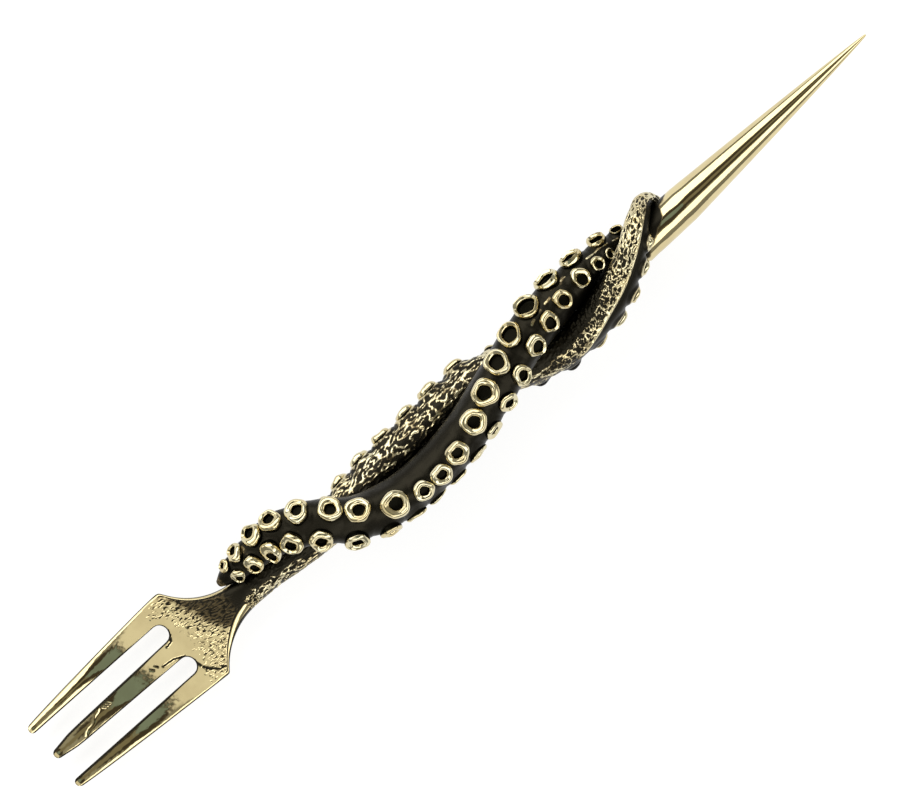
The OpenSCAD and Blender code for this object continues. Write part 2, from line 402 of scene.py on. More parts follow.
class RubbedPatina:
    """Shader node group for black patina that is rubbed back to brass where the polish is high.

    Attributes:
        NAME: name of the group.
        VALUES: inputs that are numbers.
        COLOURS: inputs that are colours.
        OUTPUTS: outputs, each with its kind of socket.
        FINE: detail and roughness of the fine grain.
        BLOTCH: scale, detail and roughness of the warmer patches.
        RUBBED: polish at which the patina starts to go, and at which it is gone.
        WARM: range of the patches' noise over which the brass turns warmer.
        STAINED: rubbed share over which patina turns into stain.
        BARE: rubbed share over which stain turns into brass.
        SMOOTH: rubbed share over which the dark roughness turns into the bright one.
        UNEVEN: how far the grain changes the roughness.
    """

    NAME = "rubbed_patina"
    VALUES = ("Polish", "Grain scale", "Break-up", "Bright roughness", "Dark roughness")
    COLOURS = ("Brass", "Warm brass", "Stain", "Patina")
    OUTPUTS = {"Color": "NodeSocketColor", "Roughness": "NodeSocketFloat", "Height": "NodeSocketFloat"}
    FINE = (5.0, 0.6)
    BLOTCH = (210.0, 4.0, 0.55)
    RUBBED = (0.2, 0.62)
    WARM = (0.35, 0.68)
    STAINED = (0.0, 0.45)
    BARE = (0.25, 1.0)
    SMOOTH = (0.1, 0.9)
    UNEVEN = 0.06

    @classmethod
    def tree(cls) -> bpy.types.NodeTree:
        """Returns the group, which is drawn on the first call."""
        return bpy.data.node_groups.get(cls.NAME) or cls._draw()

    @classmethod
    def _draw(cls) -> bpy.types.NodeTree:
        """Draws the group.

        Returns:
            Its node tree.
        """
        tree = bpy.data.node_groups.new(cls.NAME, "ShaderNodeTree")
        for name in cls.VALUES:
            tree.interface.new_socket(name, in_out="INPUT", socket_type="NodeSocketFloat")
        for name in cls.COLOURS:
            tree.interface.new_socket(name, in_out="INPUT", socket_type="NodeSocketColor")
        for name, kind in cls.OUTPUTS.items():
            tree.interface.new_socket(name, in_out="OUTPUT", socket_type=kind)
        sheet = NodeSheet(tree)
        given = sheet.add("NodeGroupInput").outputs
        fine = cls._noise(sheet, given["Grain scale"], *cls.FINE)
        uneven = sheet.math("SUBTRACT", fine, 0.5)
        polish = sheet.math("ADD", given["Polish"], sheet.math("MULTIPLY", uneven, given["Break-up"]))
        rubbed = sheet.spread(polish, cls.RUBBED, (0.0, 1.0))
        warm = sheet.spread(cls._noise(sheet, *cls.BLOTCH), cls.WARM, (0.0, 1.0))
        tone = sheet.mix(warm, given["Brass"], given["Warm brass"])
        dull = sheet.mix(sheet.spread(rubbed, cls.STAINED, (0.0, 1.0)), given["Patina"], given["Stain"])
        colour = sheet.mix(sheet.spread(rubbed, cls.BARE, (0.0, 1.0)), dull, tone)
        step = sheet.math("SUBTRACT", given["Dark roughness"], given["Bright roughness"])
        step = sheet.math("MULTIPLY", step, sheet.spread(rubbed, cls.SMOOTH, (1.0, 0.0)))
        rough = sheet.math("ADD", given["Bright roughness"], step)
        rough = sheet.math("ADD", rough, sheet.math("MULTIPLY", uneven, cls.UNEVEN))
        sheet.add("NodeGroupOutput", {"Color": colour, "Roughness": rough, "Height": fine})
        return tree

    @staticmethod
    def _noise(sheet: NodeSheet, scale: object, detail: float, roughness: float) -> bpy.types.NodeSocket:
        """Adds noise on the object's own coordinates.

        Args:
            sheet: sheet of the group's nodes.
            scale: value or socket of the noise's scale, per metre.
            detail: detail of the noise.
            roughness: weight of the detail.

        Returns:
            Socket of the noise, about 0.5 on average.
        """
        place = sheet.add("ShaderNodeTexCoord").outputs["Object"]
        inputs = {"Vector": place, "Scale": scale, "Detail": detail, "Roughness": roughness}
        return sheet.add("ShaderNodeTexNoise", inputs).outputs["Fac"]


@dataclass(frozen=True)
class Finish:
    """A brass finish between black patina and bright metal.

    Attributes:
        slot: material slot of the record.
        brass: colour of the rubbed metal.
        warm_brass: colour of its warmer patches.
        stain: colour of half-rubbed patina.
        patina: colour of the untouched patina.
        bright_roughness: roughness of the rubbed metal.
        dark_roughness: roughness of the patina.
        grain_scale: grains per metre.
        grain_depth: depth of the grain, in metres.
        break_up: how far the grain breaks up the edge of the patina.
    """

    slot: Slot
    brass: Colour
    warm_brass: Colour
    stain: Colour
    patina: Colour
    bright_roughness: float
    dark_roughness: float
    grain_scale: float
    grain_depth: float
    break_up: float

    @property
    def name(self) -> str:
        """Name of the material."""
        return f"cast_{self.slot.value}"

    def material(self) -> bpy.types.Material:
        """Returns the finish as a material, which is made on the first call."""
        return bpy.data.materials.get(self.name) or self._make()

    def _make(self) -> bpy.types.Material:
        """Draws the material's nodes.

        Returns:
            The material.
        """
        made = bpy.data.materials.new(self.name)
        sheet = NodeSheet.emptied(made)
        inputs = {
            "Polish": sheet.add("ShaderNodeAttribute", attribute_name=POLISH).outputs["Fac"],
            "Grain scale": self.grain_scale,
            "Break-up": self.break_up,
            "Bright roughness": self.bright_roughness,
            "Dark roughness": self.dark_roughness,
            "Brass": self.brass,
            "Warm brass": self.warm_brass,
            "Stain": self.stain,
            "Patina": self.patina,
        }
        patina = sheet.add("ShaderNodeGroup", inputs, node_tree=RubbedPatina.tree()).outputs
        relief = {"Strength": 1.0, "Distance": self.grain_depth, "Height": patina["Height"]}
        surface = {
            "Base Color": patina["Color"],
            "Roughness": patina["Roughness"],
            "Metallic": 1.0,
            "Normal": sheet.add("ShaderNodeBump", relief).outputs["Normal"],
        }
        shader = sheet.add("ShaderNodeBsdfPrincipled", surface)
        sheet.add("ShaderNodeOutputMaterial", {"Surface": shader.outputs["BSDF"]})
        return made


YELLOW_BRASS = (0.71, 0.61, 0.35, 1.0)
PALE_BRASS = (0.7, 0.64, 0.43, 1.0)
WARM_BRASS = (0.63, 0.53, 0.3, 1.0)
BROWN_STAIN = (0.16, 0.12, 0.06, 1.0)
BLACK_PATINA = (0.0195, 0.0175, 0.0125, 1.0)
# Patina of the cups, blacker than the skin's, as painted shade in their holes and low walls.
CUP_PATINA_AND_SHADE = (0.008, 0.0075, 0.005, 1.0)

FINISHES = {
    Slot.POLISHED: Finish(
        Slot.POLISHED, YELLOW_BRASS, WARM_BRASS, BROWN_STAIN, BLACK_PATINA, 0.05, 0.42, 2600.0, 3e-6, 0.16
    ),
    Slot.BLACKENED: Finish(
        Slot.BLACKENED, PALE_BRASS, WARM_BRASS, BROWN_STAIN, BLACK_PATINA, 0.16, 0.4, 3200.0, 2.5e-5, 0.34
    ),
    Slot.SUCKER: Finish(
        Slot.SUCKER, PALE_BRASS, WARM_BRASS, BROWN_STAIN, CUP_PATINA_AND_SHADE, 0.12, 0.46, 2400.0, 7e-6, 0.3
    ),
}


@dataclass
class Piece(ABC):
    """A piece of the object that stands for one CAD node.

    Attributes:
        node: name of the CAD node, which the piece's name is made from.
        slot: material slot of the record.
    """

    node: str
    slot: Slot

    @abstractmethod
    def shape(self, bm: bmesh.types.BMesh) -> None:
        """Shapes the piece in an empty bmesh, in millimetres, with its polish on the vertices."""

    def build(self, sharp: float = math.radians(50)) -> bpy.types.Object:
        """Makes the piece's object.

        Args:
            sharp: angle in radians from which an edge is shaded as a sharp one.

        Returns:
            The object, at the origin, with its place in its mesh.
        """
        bm = bmesh.new()
        self.shape(bm)
        bmesh.ops.recalc_face_normals(bm, faces=bm.faces)
        bmesh.ops.translate(bm, vec=DATUM, verts=bm.verts)
        bmesh.ops.scale(bm, vec=(MM, MM, MM), verts=bm.verts)
        mesh = bpy.data.meshes.new(f"cast_{self.node}")
        bm.to_mesh(mesh)
        bm.free()
        mesh.shade_smooth()
        mesh.set_sharp_from_angle(angle=sharp)
        return place_object(f"cast_{self.node}", mesh)

    def dress(self, obj: bpy.types.Object) -> None:
        """Gives the object its finish."""
        obj.data.materials.append(FINISHES[self.slot].material())

    def hand_over(self) -> bpy.types.Object:
        """Builds and dresses the piece and joins it to the frame.

        Returns:
            The piece's object.
        """
        obj = self.build()
        self.dress(obj)
        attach(obj, BODY)
        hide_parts(self.node)
        return obj


@dataclass(frozen=True)
class Cup:
    """A sucker's place and size.

    Attributes:
        station: station along its tentacle.
        diameter: outer diameter.
        lean: degrees of lean toward the fork.
        rub: how far down its rim is rubbed bright, from 0 to 1.
        height: its height as a share of a full one's.
    """

    station: float
    diameter: float
    lean: float = 0.0
    rub: float = 1.0
    height: float = 1.0


@dataclass(frozen=True)
class SkinPoints:
    """Points on the smooth skin of a tentacle, one row or value for each.

    Attributes:
        station: station along the arm.
        delta: degrees from the middle of the sucker face.
        place: the point.
        cell: the point in cells of the net on the arm's back.
    """

    station: np.ndarray
    delta: np.ndarray
    place: np.ndarray
    cell: np.ndarray


@dataclass(frozen=True)
class BackTexture:
    """Net and loose wrinkles on the back of a tentacle, in cells.

    Attributes:
        wall_bend: how far the walls of the net wander from straight.
        wall_top: half the width of a wall's top.
        wall_side: width of a wall's side.
        fold_pull: scale of the wrinkles' noise along the arm and across it.
        fold_side: level of that noise at which a wrinkle has run out.
        breaks: scale of the noise that breaks the wrinkles.
        break_range: level of that noise at which a break starts, and at which it is deepest.
        break_depth: share of a wrinkle's height that a break takes away.
        wear: scale of the noise that wears the ridges.
        wear_level: share of a ridge's height that is left on average.
        wear_change: how far that share changes.
    """

    wall_bend: float = 0.3
    wall_top: float = 0.02
    wall_side: float = 0.17
    fold_pull: Point = (0.75, 1.0, 1.0)
    fold_side: float = 0.23
    breaks: float = 1.2
    break_range: Span = (0.05, 0.35)
    break_depth: float = 0.6
    wear: float = 0.45
    wear_level: float = 0.8
    wear_change: float = 0.6

    def ridges(self, cell: np.ndarray, pace: np.ndarray, netted: np.ndarray, fill: np.ndarray) -> np.ndarray:
        """Height of the ridges.

        Args:
            cell: points in cells, an array of rows of three.
            pace: wrinkles in the length of a cell, at each point.
            netted: share of the net, from 0 for loose wrinkles to 1.
            fill: how far the ridges close over the pits, from 0.

        Returns:
            Height at each point, from 0 in a pit to 1 on a ridge.
        """
        away = net_distance(cell, self.wall_bend) - self.wall_top - fill
        net = 1.0 - np.clip(away / self.wall_side, 0.0, 1.0)
        folds = pace[:, None] * cell * np.array(self.fold_pull)
        wrinkle = 1.0 - np.clip(np.abs(grain(folds)) / self.fold_side, 0.0, 1.0)
        wrinkle *= 1.0 - self.break_depth * smoothstep(*self.break_range, grain(self.breaks * cell))
        left = np.clip(self.wear_level + self.wear_change * grain(self.wear * cell) + fill, 0.0, 1.0)
        return (netted * net + (1.0 - netted) * wrinkle) * left


@dataclass(kw_only=True)
class Tentacle(Piece):
    """A tapering arm with a flattened sucker face and a reticulated back.

    Attributes:
        route: centre line as rows of station, y and z.
        turns: way that the sucker face looks, in degrees from up toward +y.
        press: share of the radius that the sucker face is pressed in.
        row_spread: degrees from the middle of the sucker face to each row of cups.
        net_starts: degrees from the face's middle where the net starts, on the side of higher angles.
        shade_reach: distance from the other arm within which the skin is kept black, as patina in the groove
            between the arms and as painted shade where they meet.
        fill: how far the ridges of the back close over its pits, from 0.
        netted: share of the net on the back, from 0 for loose wrinkles to 1.
        wrinkles: wrinkles in the length of a cell.
        bare: polish of the smooth skin where its patina is thin.
        neck_x: x of station 0, the neck joint.
        rings: rings along the arm.
        face_columns: columns across the smooth sucker face.
        back_columns: columns across the reticulated back.
        face_half: degrees from the face's middle where the net starts and is full, on the other side.
        net_fade: degrees over which the net comes up on either side of its start.
        cell: length along and across the arm of a cell of its back.
        texture: net and wrinkles of the back.
        ridge_height: height of the ridges on the back.
        ridge_base: share of that height by which the pits lie under the smooth skin.
        pit_polish: polish in the pits of the wrinkles and of the net.
        dent_size: size of the shallow dents in the skin.
        dent_depth: depth of the dents.
        dent_rub: polish of the skin between the dents, and what the swellings round the cups add to it.
        bead_height: height of the smooth rubbed lines.
        shade_fade: distance over which that patina and painted shade then give way to the polish.
        bead_fade: distance from the other arm over which the rubbed lines run out into that patina and
            painted shade.
        collar_height: height of the swelling round each cup.
        collar_rub: polish of the swelling.
        collar_inside: start and end of its inner slope, in diameters of the cup.
        collar_outside: start and end of its outer slope, in diameters of the cup.
        tip_steps: rings on a rounded tip.
        tip_bulge: length of a rounded tip, in radii.
        route_steps: points that the route's length is measured on.
        gap_steps: points of the centre line that gaps are measured from.
        root_is_flat: whether the arm starts at a flat joint and not at a rounded tip.
        rows: rows of cups on the arm.
        neighbour: the other arm.
    """

    route: Table
    turns: Table
    press: Course
    row_spread: Course
    net_starts: Course
    shade_reach: Course
    fill: Course = NOWHERE
    netted: Course = NOWHERE
    wrinkles: Course = Ramp(((0, 1.05),))
    bare: Course = NOWHERE
    neck_x: float = 40.5
    rings: int = 800
    face_columns: int = 26
    back_columns: int = 88
    face_half: Span = (58.0, 72.0)
    net_fade: float = 6.0
    cell: Span = (1.05, 0.62)
    texture: BackTexture = BackTexture()
    ridge_height: float = 0.17
    ridge_base: float = 0.35
    pit_polish: Span = (0.2, 0.06)
    dent_size: float = 1.6
    dent_depth: float = 0.05
    dent_rub: Span = (0.1, 0.25)
    bead_height: float = 0.16
    shade_fade: float = 1.2
    bead_fade: float = 0.6
    collar_height: float = 0.2
    collar_rub: float = 0.0
    collar_inside: Span = (0.28, 0.45)
    collar_outside: Span = (0.47, 0.85)
    tip_steps: int = 8
    tip_bulge: float = 0.6
    route_steps: int = 4000
    gap_steps: int = 500
    root_is_flat: bool = False
    rows: list["SuckerRow"] = field(default_factory=list)
    neighbour: "Tentacle | None" = None

    @abstractmethod
    def radius(self, s: np.ndarray) -> np.ndarray:
        """Radius of the arm at stations."""

    @abstractmethod
    def beads(self, s: np.ndarray, delta: np.ndarray) -> np.ndarray:
        """Smooth rubbed lines at stations and degrees from the face's middle, from 0 to 1."""

    def centre(self, s: np.ndarray) -> np.ndarray:
        """Points of the centre line.

        Args:
            s: stations.

        Returns:
            One row of x, y and z for each station.
        """
        found = self.route.at(s)
        found[:, 0] += self.neck_x
        return found

    def axes(self, s: np.ndarray, reach: float = 0.05) -> tuple[np.ndarray, np.ndarray, np.ndarray]:
        """Directions of the arm.

        Args:
            s: stations.
            reach: distance to the points on either side that the heading is taken from.

        Returns:
            Unit vectors of the heading, upward and sideways, one row of each for each station.
        """
        ahead = self.centre(np.minimum(s + reach, self.route.end))
        heading = ahead - self.centre(np.maximum(s - reach, self.route.start))
        heading /= np.linalg.norm(heading, axis=1)[:, None]
        up = np.array([0.0, 0.0, 1.0]) - heading[:, 2:] * heading
        up /= np.linalg.norm(up, axis=1)[:, None]
        return heading, up, np.cross(up, heading)

    def skin(self, s: np.ndarray, delta: np.ndarray) -> np.ndarray:
        """Distance from the centre line to the smooth skin, delta degrees from the face's middle."""
        pressed = self.press.value(s) * np.maximum(0.0, np.cos(np.radians(delta))) ** 2
        return self.radius(s) * (1.0 - pressed)

    def seat(self, cup: Cup, row: Row) -> Matrix:
        """Finds where a cup stands.

        Args:
            cup: the cup.
            row: side of the sucker face.

        Returns:
            Matrix that moves a cup from the origin, its axis along z, onto the skin.
        """
        s = np.array([cup.station])
        heading, up, side = (Vector(axis[0]) for axis in self.axes(s))
        spread, flat, turn = (float(c.value(s)[0]) for c in (self.row_spread, self.press, self.turns))
        wide = math.radians(spread)
        tilt = math.atan(flat * math.sin(2 * wide) / (1 - flat * math.cos(wide) ** 2))
        angle = math.radians(turn) + row.value * wide
        place = Vector(self.centre(s)[0])
        place += float(self.skin(s, np.array([spread]))[0]) * (math.cos(angle) * up + math.sin(angle) * side)
        angle -= row.value * tilt
        lean = math.radians(cup.lean)
        axis = math.cos(lean) * (math.cos(angle) * up + math.sin(angle) * side) - math.sin(lean) * heading
        along = (heading - heading.dot(axis) * axis).normalized()
        return Matrix.Translation(place) @ Matrix((along, axis.cross(along), axis)).transposed().to_4x4()

    def gap(self, points: np.ndarray) -> np.ndarray:
        """Distance to this arm's skin.

        Args:
            points: where to measure it, an array of rows of three.

        Returns:
            The distance of each point, which is less than 0 inside the arm.
        """
        s = np.linspace(self.route.start, self.route.end, self.gap_steps)
        line, radii = self.centre(s), self.radius(s)
        tree = kdtree.KDTree(len(s))
        for k, place in enumerate(line.tolist()):
            tree.insert(place, k)
        tree.balance()
        found = (tree.find(place) for place in points.tolist())
        return np.array([distance - radii[k] for _, k, distance in found])

    def columns(self) -> np.ndarray:
        """Spaces the columns of the grid.

        Returns:
            Degrees from the face's middle of each column, once round with the seam at the back.
        """
        half = self.face_half[0]
        back = np.linspace(half, 180.0, self.back_columns // 2 + 1)
        face = np.linspace(-half, half, self.face_columns + 1)
        return np.concatenate([-back[::-1], face[1:-1], back])

    def ring_plan(self) -> tuple[np.ndarray, np.ndarray, np.ndarray]:
        """Spaces the rings of the grid evenly along the arm and closer over its rounded tips.

        Returns:
            Station, push along the heading and share of the radius of each ring, from tip to tip.
        """
        fine = np.linspace(self.route.start, self.route.end, self.route_steps)
        length = run_lengths(self.centre(fine))
        s = np.interp(np.linspace(0.0, length[-1], self.rings), length, fine)
        angle = np.linspace(0.0, np.pi / 2, self.tip_steps + 1)[1:]
        bulge = self.tip_bulge * self.radius(s[[0, -1]])
        plan = [(s, np.zeros_like(s), np.ones_like(s))]
        plan.append((np.full_like(angle, s[-1]), bulge[1] * np.sin(angle), np.cos(angle)))
        if not self.root_is_flat:
            plan.insert(0, (np.full_like(angle, s[0]), -bulge[0] * np.sin(angle)[::-1], np.cos(angle)[::-1]))
        return tuple(np.concatenate(column) for column in zip(*plan))

    def collars(self, points: np.ndarray) -> tuple[np.ndarray, np.ndarray]:
        """Swelling of the skin round the cups.

        Args:
            points: points of the skin, an array of rows of three.

        Returns:
            The swelling at each point, from 0 to 1, and its share that is rubbed with the cup.
        """
        swell, rub = np.zeros(len(points)), np.zeros(len(points))
        for row in self.rows:
            for cup in row.cups:
                away = np.linalg.norm(points - np.array(self.seat(cup, row.side).translation), axis=1)
                share = away / cup.diameter
                here = smoothstep(*self.collar_inside, share)
                here *= 1.0 - smoothstep(*self.collar_outside, share)
                rub = np.where(here > swell, cup.rub, rub)
                swell = np.maximum(swell, here)
        return swell, rub

    def relief(self, skin: SkinPoints) -> tuple[np.ndarray, np.ndarray]:
        """Shapes and rubs the skin.

        Args:
            skin: points of the smooth skin.

        Returns:
            Height over the smooth skin and polish from 0 to 1, at each point.
        """
        s = skin.station
        high_side = smoothstep(-self.net_fade, self.net_fade, skin.delta - self.net_starts.value(s))
        back = np.maximum(high_side, smoothstep(*self.face_half, -skin.delta))
        netted = self.netted.value(s)
        ridge = self.texture.ridges(skin.cell, self.wrinkles.value(s), netted, self.fill.value(s))
        collar, collar_share = self.collars(skin.place)
        bead = self.beads(s, skin.delta)
        dent = grain(skin.place / self.dent_size)
        height = back * self.ridge_height * (ridge - self.ridge_base) + self.collar_height * collar
        height += self.dent_depth * dent + self.bead_height * bead

        # Near the other arm the polish falls to black, the rubbed lines too: patina kept in the groove, and
        # painted shade where the arms meet.
        gap = self.neighbour.gap(skin.place)
        unshaded = smoothstep(0.0, self.shade_fade, gap - self.shade_reach.value(s))
        rub = smoothstep(0.25, 0.75, dent) * (self.dent_rub[0] + self.dent_rub[1] * collar)
        swollen = self.collar_rub * collar_share * smoothstep(0.3, 0.9, collar)
        rub = np.maximum(rub + self.bare.value(s), swollen)
        pit = self.pit_polish[0] + (self.pit_polish[1] - self.pit_polish[0]) * netted
        polish = unshaded * (back * (pit + (1.0 - pit) * ridge) + (1.0 - back) * rub)
        polish = np.maximum(polish, bead * smoothstep(0.0, self.bead_fade, gap))
        return height, np.clip(polish, 0.0, 1.0)

    def shape(self, bm: bmesh.types.BMesh) -> None:
        """Wraps a grid round the centre line and raises the relief on it.

        Args:
            bm: empty bmesh.
        """
        s, push, share = self.ring_plan()
        delta = self.columns()
        row, column = grid_places(bm, len(s), len(delta))
        heading, up, side = self.axes(s)
        line = self.centre(s) + push[:, None] * heading
        here, angle = s[row], np.radians(self.turns.value(s)[row] + delta[column])
        outward = np.cos(angle)[:, None] * up[row] + np.sin(angle)[:, None] * side[row]
        skin = self.skin(here, delta[column])
        length = run_lengths(self.centre(s))
        cell = np.stack([length[row] / self.cell[0], skin * np.sin(angle), skin * np.cos(angle)], axis=1)
        cell[:, 1:] /= self.cell[1]
        place = line[row] + skin[:, None] * outward
        height, polish = self.relief(SkinPoints(here, delta[column], place, cell))
        reach = share[row] * (skin + height * np.clip(skin, 0.0, 1.0))
        layer = bm.verts.layers.float.new(POLISH)
        set_points(bm.verts, layer, line[row] + reach[:, None] * outward, polish)
        bmesh.ops.remove_doubles(bm, verts=bm.verts, dist=SEAM_GAP)
        bmesh.ops.holes_fill(bm, edges=[edge for edge in bm.edges if edge.is_boundary])


@dataclass(kw_only=True)
class FrontTentacle(Tentacle):
    """The arm that lies on top, from a blunt tip on the neck to a slim one under the pick.

    Attributes:
        thickest: its largest diameter.
        full_from: station where it reaches that diameter.
        full_to: station where it leaves that diameter.
        blunt_reach: length of the quarter oval that rounds off the tip on the neck.
        taper_reach: length of the parabola that tapers to the other tip.
        crease_runs: first and last stations of the raised crease between the rows.
        crease_fade: length over which the crease runs out on either side of those stations.
        crease_width: half the width of the crease, in degrees.
        crease_sway: degrees that the crease wanders to either side.
        crease_pace: radians of that wander in a millimetre.
    """

    press: Course = Ramp(((10, 0.25), (24, 0.08)))
    row_spread: Course = Ramp(((34, 45), (46, 35), (64, 35), (76, 40)))
    net_starts: Course = Ramp(((0, 166),))
    shade_reach: Course = Ramp(((0, 0.5),))
    bare: Course = Ease((-2.6, -1.2), (0.34, 0.0))
    face_half: Span = (78.0, 98.0)
    thickest: float = 7.2
    full_from: float = 19.0
    full_to: float = 58.0
    blunt_reach: float = 22.4
    taper_reach: float = 30.6
    crease_runs: Stroke = ((59.6, 60.8), (63.2, 64.8), (67.4, 68.8), (72.7, 76.6), (77.4, 78.8))
    crease_fade: float = 0.3
    crease_width: float = 3.0
    crease_sway: float = 3.0
    crease_pace: float = 0.9

    def radius(self, s: np.ndarray) -> np.ndarray:
        """Radius of the arm.

        Args:
            s: stations.

        Returns:
            The radius at each station.
        """
        neck = np.sqrt(np.clip(1 - ((self.full_from - s) / self.blunt_reach) ** 2, 0, None))
        far = np.clip(1 - (np.maximum(0, s - self.full_to) / self.taper_reach) ** 2, 0, None)
        return self.thickest / 2 * np.where(s < self.full_from, neck, far)

    def beads(self, s: np.ndarray, delta: np.ndarray) -> np.ndarray:
        """Broken crease that wanders between the two rows, near the pick.

        Args:
            s: stations.
            delta: degrees from the face's middle.

        Returns:
            The crease at each point, from 0 to 1.
        """
        line = bell(delta + self.crease_sway * np.sin(self.crease_pace * s), self.crease_width)
        fade = self.crease_fade
        runs = [
            smoothstep(first - fade, first + fade, s) * (1 - smoothstep(last - fade, last + fade, s))
            for first, last in self.crease_runs
        ]
        return line * np.maximum.reduce(runs)


@dataclass(kw_only=True)
class RearTentacle(Tentacle):
    """The arm that carries on the neck and ends wrapped over the pick's base.

    Attributes:
        rubbed: how far down the cups are rubbed bright.
        root: diameter at the neck joint.
        thickest: its largest diameter.
        full_at: station where it has that diameter.
        taper_reach: length from there to where the taper would end.
        taper_power: power of the parabola that tapers to the tip.
        edge_width: half the width of the smooth edge of the net, in degrees.
        edge_starts: stations where that edge comes up.
        edge_ends: stations where it runs out.
        cup_share: diameter of a cup, in radii of the arm.
        cup_pitch: distance between cups, in radii of the arm.
    """

    press: Course = Ramp(((0, 0.08),))
    row_spread: Course = Ramp(((0, 37),))
    net_starts: Course = Table((
        (0, 64), (50, 66), (58, 80), (62, 94), (66, 118), (70, 126), (76, 122), (80, 112), (83, 100),
        (88.3, 90),
    ))
    # How far the patina and painted shade reach from the front arm, along the arm.
    shade_reach: Course = Table((
        (0, 1.5), (14, 1.5), (26, 0.5), (44, 0.5), (54, 1.4), (64, 2.2), (71, 2.2), (76, 1.6), (80, 0.7),
        (88.3, 0.3),
    ))
    fill: Course = Ease((74, 83), (0.0, 0.09))
    netted: Course = Ease((54, 64), (0.0, 1.0))
    wrinkles: Course = Ease((3, 14), (1.3, 1.05))
    bare: Course = Ease((1, 9), (0.3, 0.0))
    collar_height: float = 0.5
    collar_rub: float = 0.55
    root_is_flat: bool = True
    rubbed: Table = Table((
        (0, 0.6), (12, 1.0), (50, 1.0), (57, 0.1), (63, 0.1), (66, 0.8), (78, 1.0), (88.3, 1.0),
    ))
    root: float = 5.3
    thickest: float = 6.9
    full_at: float = 45.0
    taper_reach: float = 43.6
    taper_power: float = 0.4
    edge_width: float = 4.5
    edge_starts: Span = (61.0, 67.0)
    edge_ends: Span = (82.0, 86.0)
    cup_share: float = 1.08
    cup_pitch: float = 1.5

    def radius(self, s: np.ndarray) -> np.ndarray:
        """Radius of the arm, which swells as a quarter of a sine and then tapers.

        Args:
            s: stations.

        Returns:
            The radius at each station.
        """
        near = self.root / 2 + (self.thickest - self.root) / 2 * np.sin(np.radians(90 / self.full_at * s))
        taper = np.clip(1 - (np.maximum(0, s - self.full_at) / self.taper_reach) ** 2, 0, None)
        return np.where(s < self.full_at, near, self.thickest / 2 * taper**self.taper_power)

    def beads(self, s: np.ndarray, delta: np.ndarray) -> np.ndarray:
        """Smooth edge along the outside of the net, near the pick.

        Args:
            s: stations.
            delta: degrees from the face's middle.

        Returns:
            The edge at each point, from 0 to 1.
        """
        line = bell(delta - self.net_starts.value(s), self.edge_width)
        return line * smoothstep(*self.edge_starts, s) * (1 - smoothstep(*self.edge_ends, s))

    def cups(self, first: float, last: float) -> list[Cup]:
        """Cups of one row, graded by the arm's taper.

        Args:
            first: station of the first cup.
            last: station that no cup is past.

        Returns:
            The cups in order.
        """
        found, s = [], np.array([first])
        while s[0] <= last:
            radius = float(self.radius(s)[0])
            found.append(Cup(float(s[0]), self.cup_share * radius, rub=float(self.rubbed.value(s)[0])))
            s = s + self.cup_pitch * radius * self.axes(s)[0][0, 0]
        return found


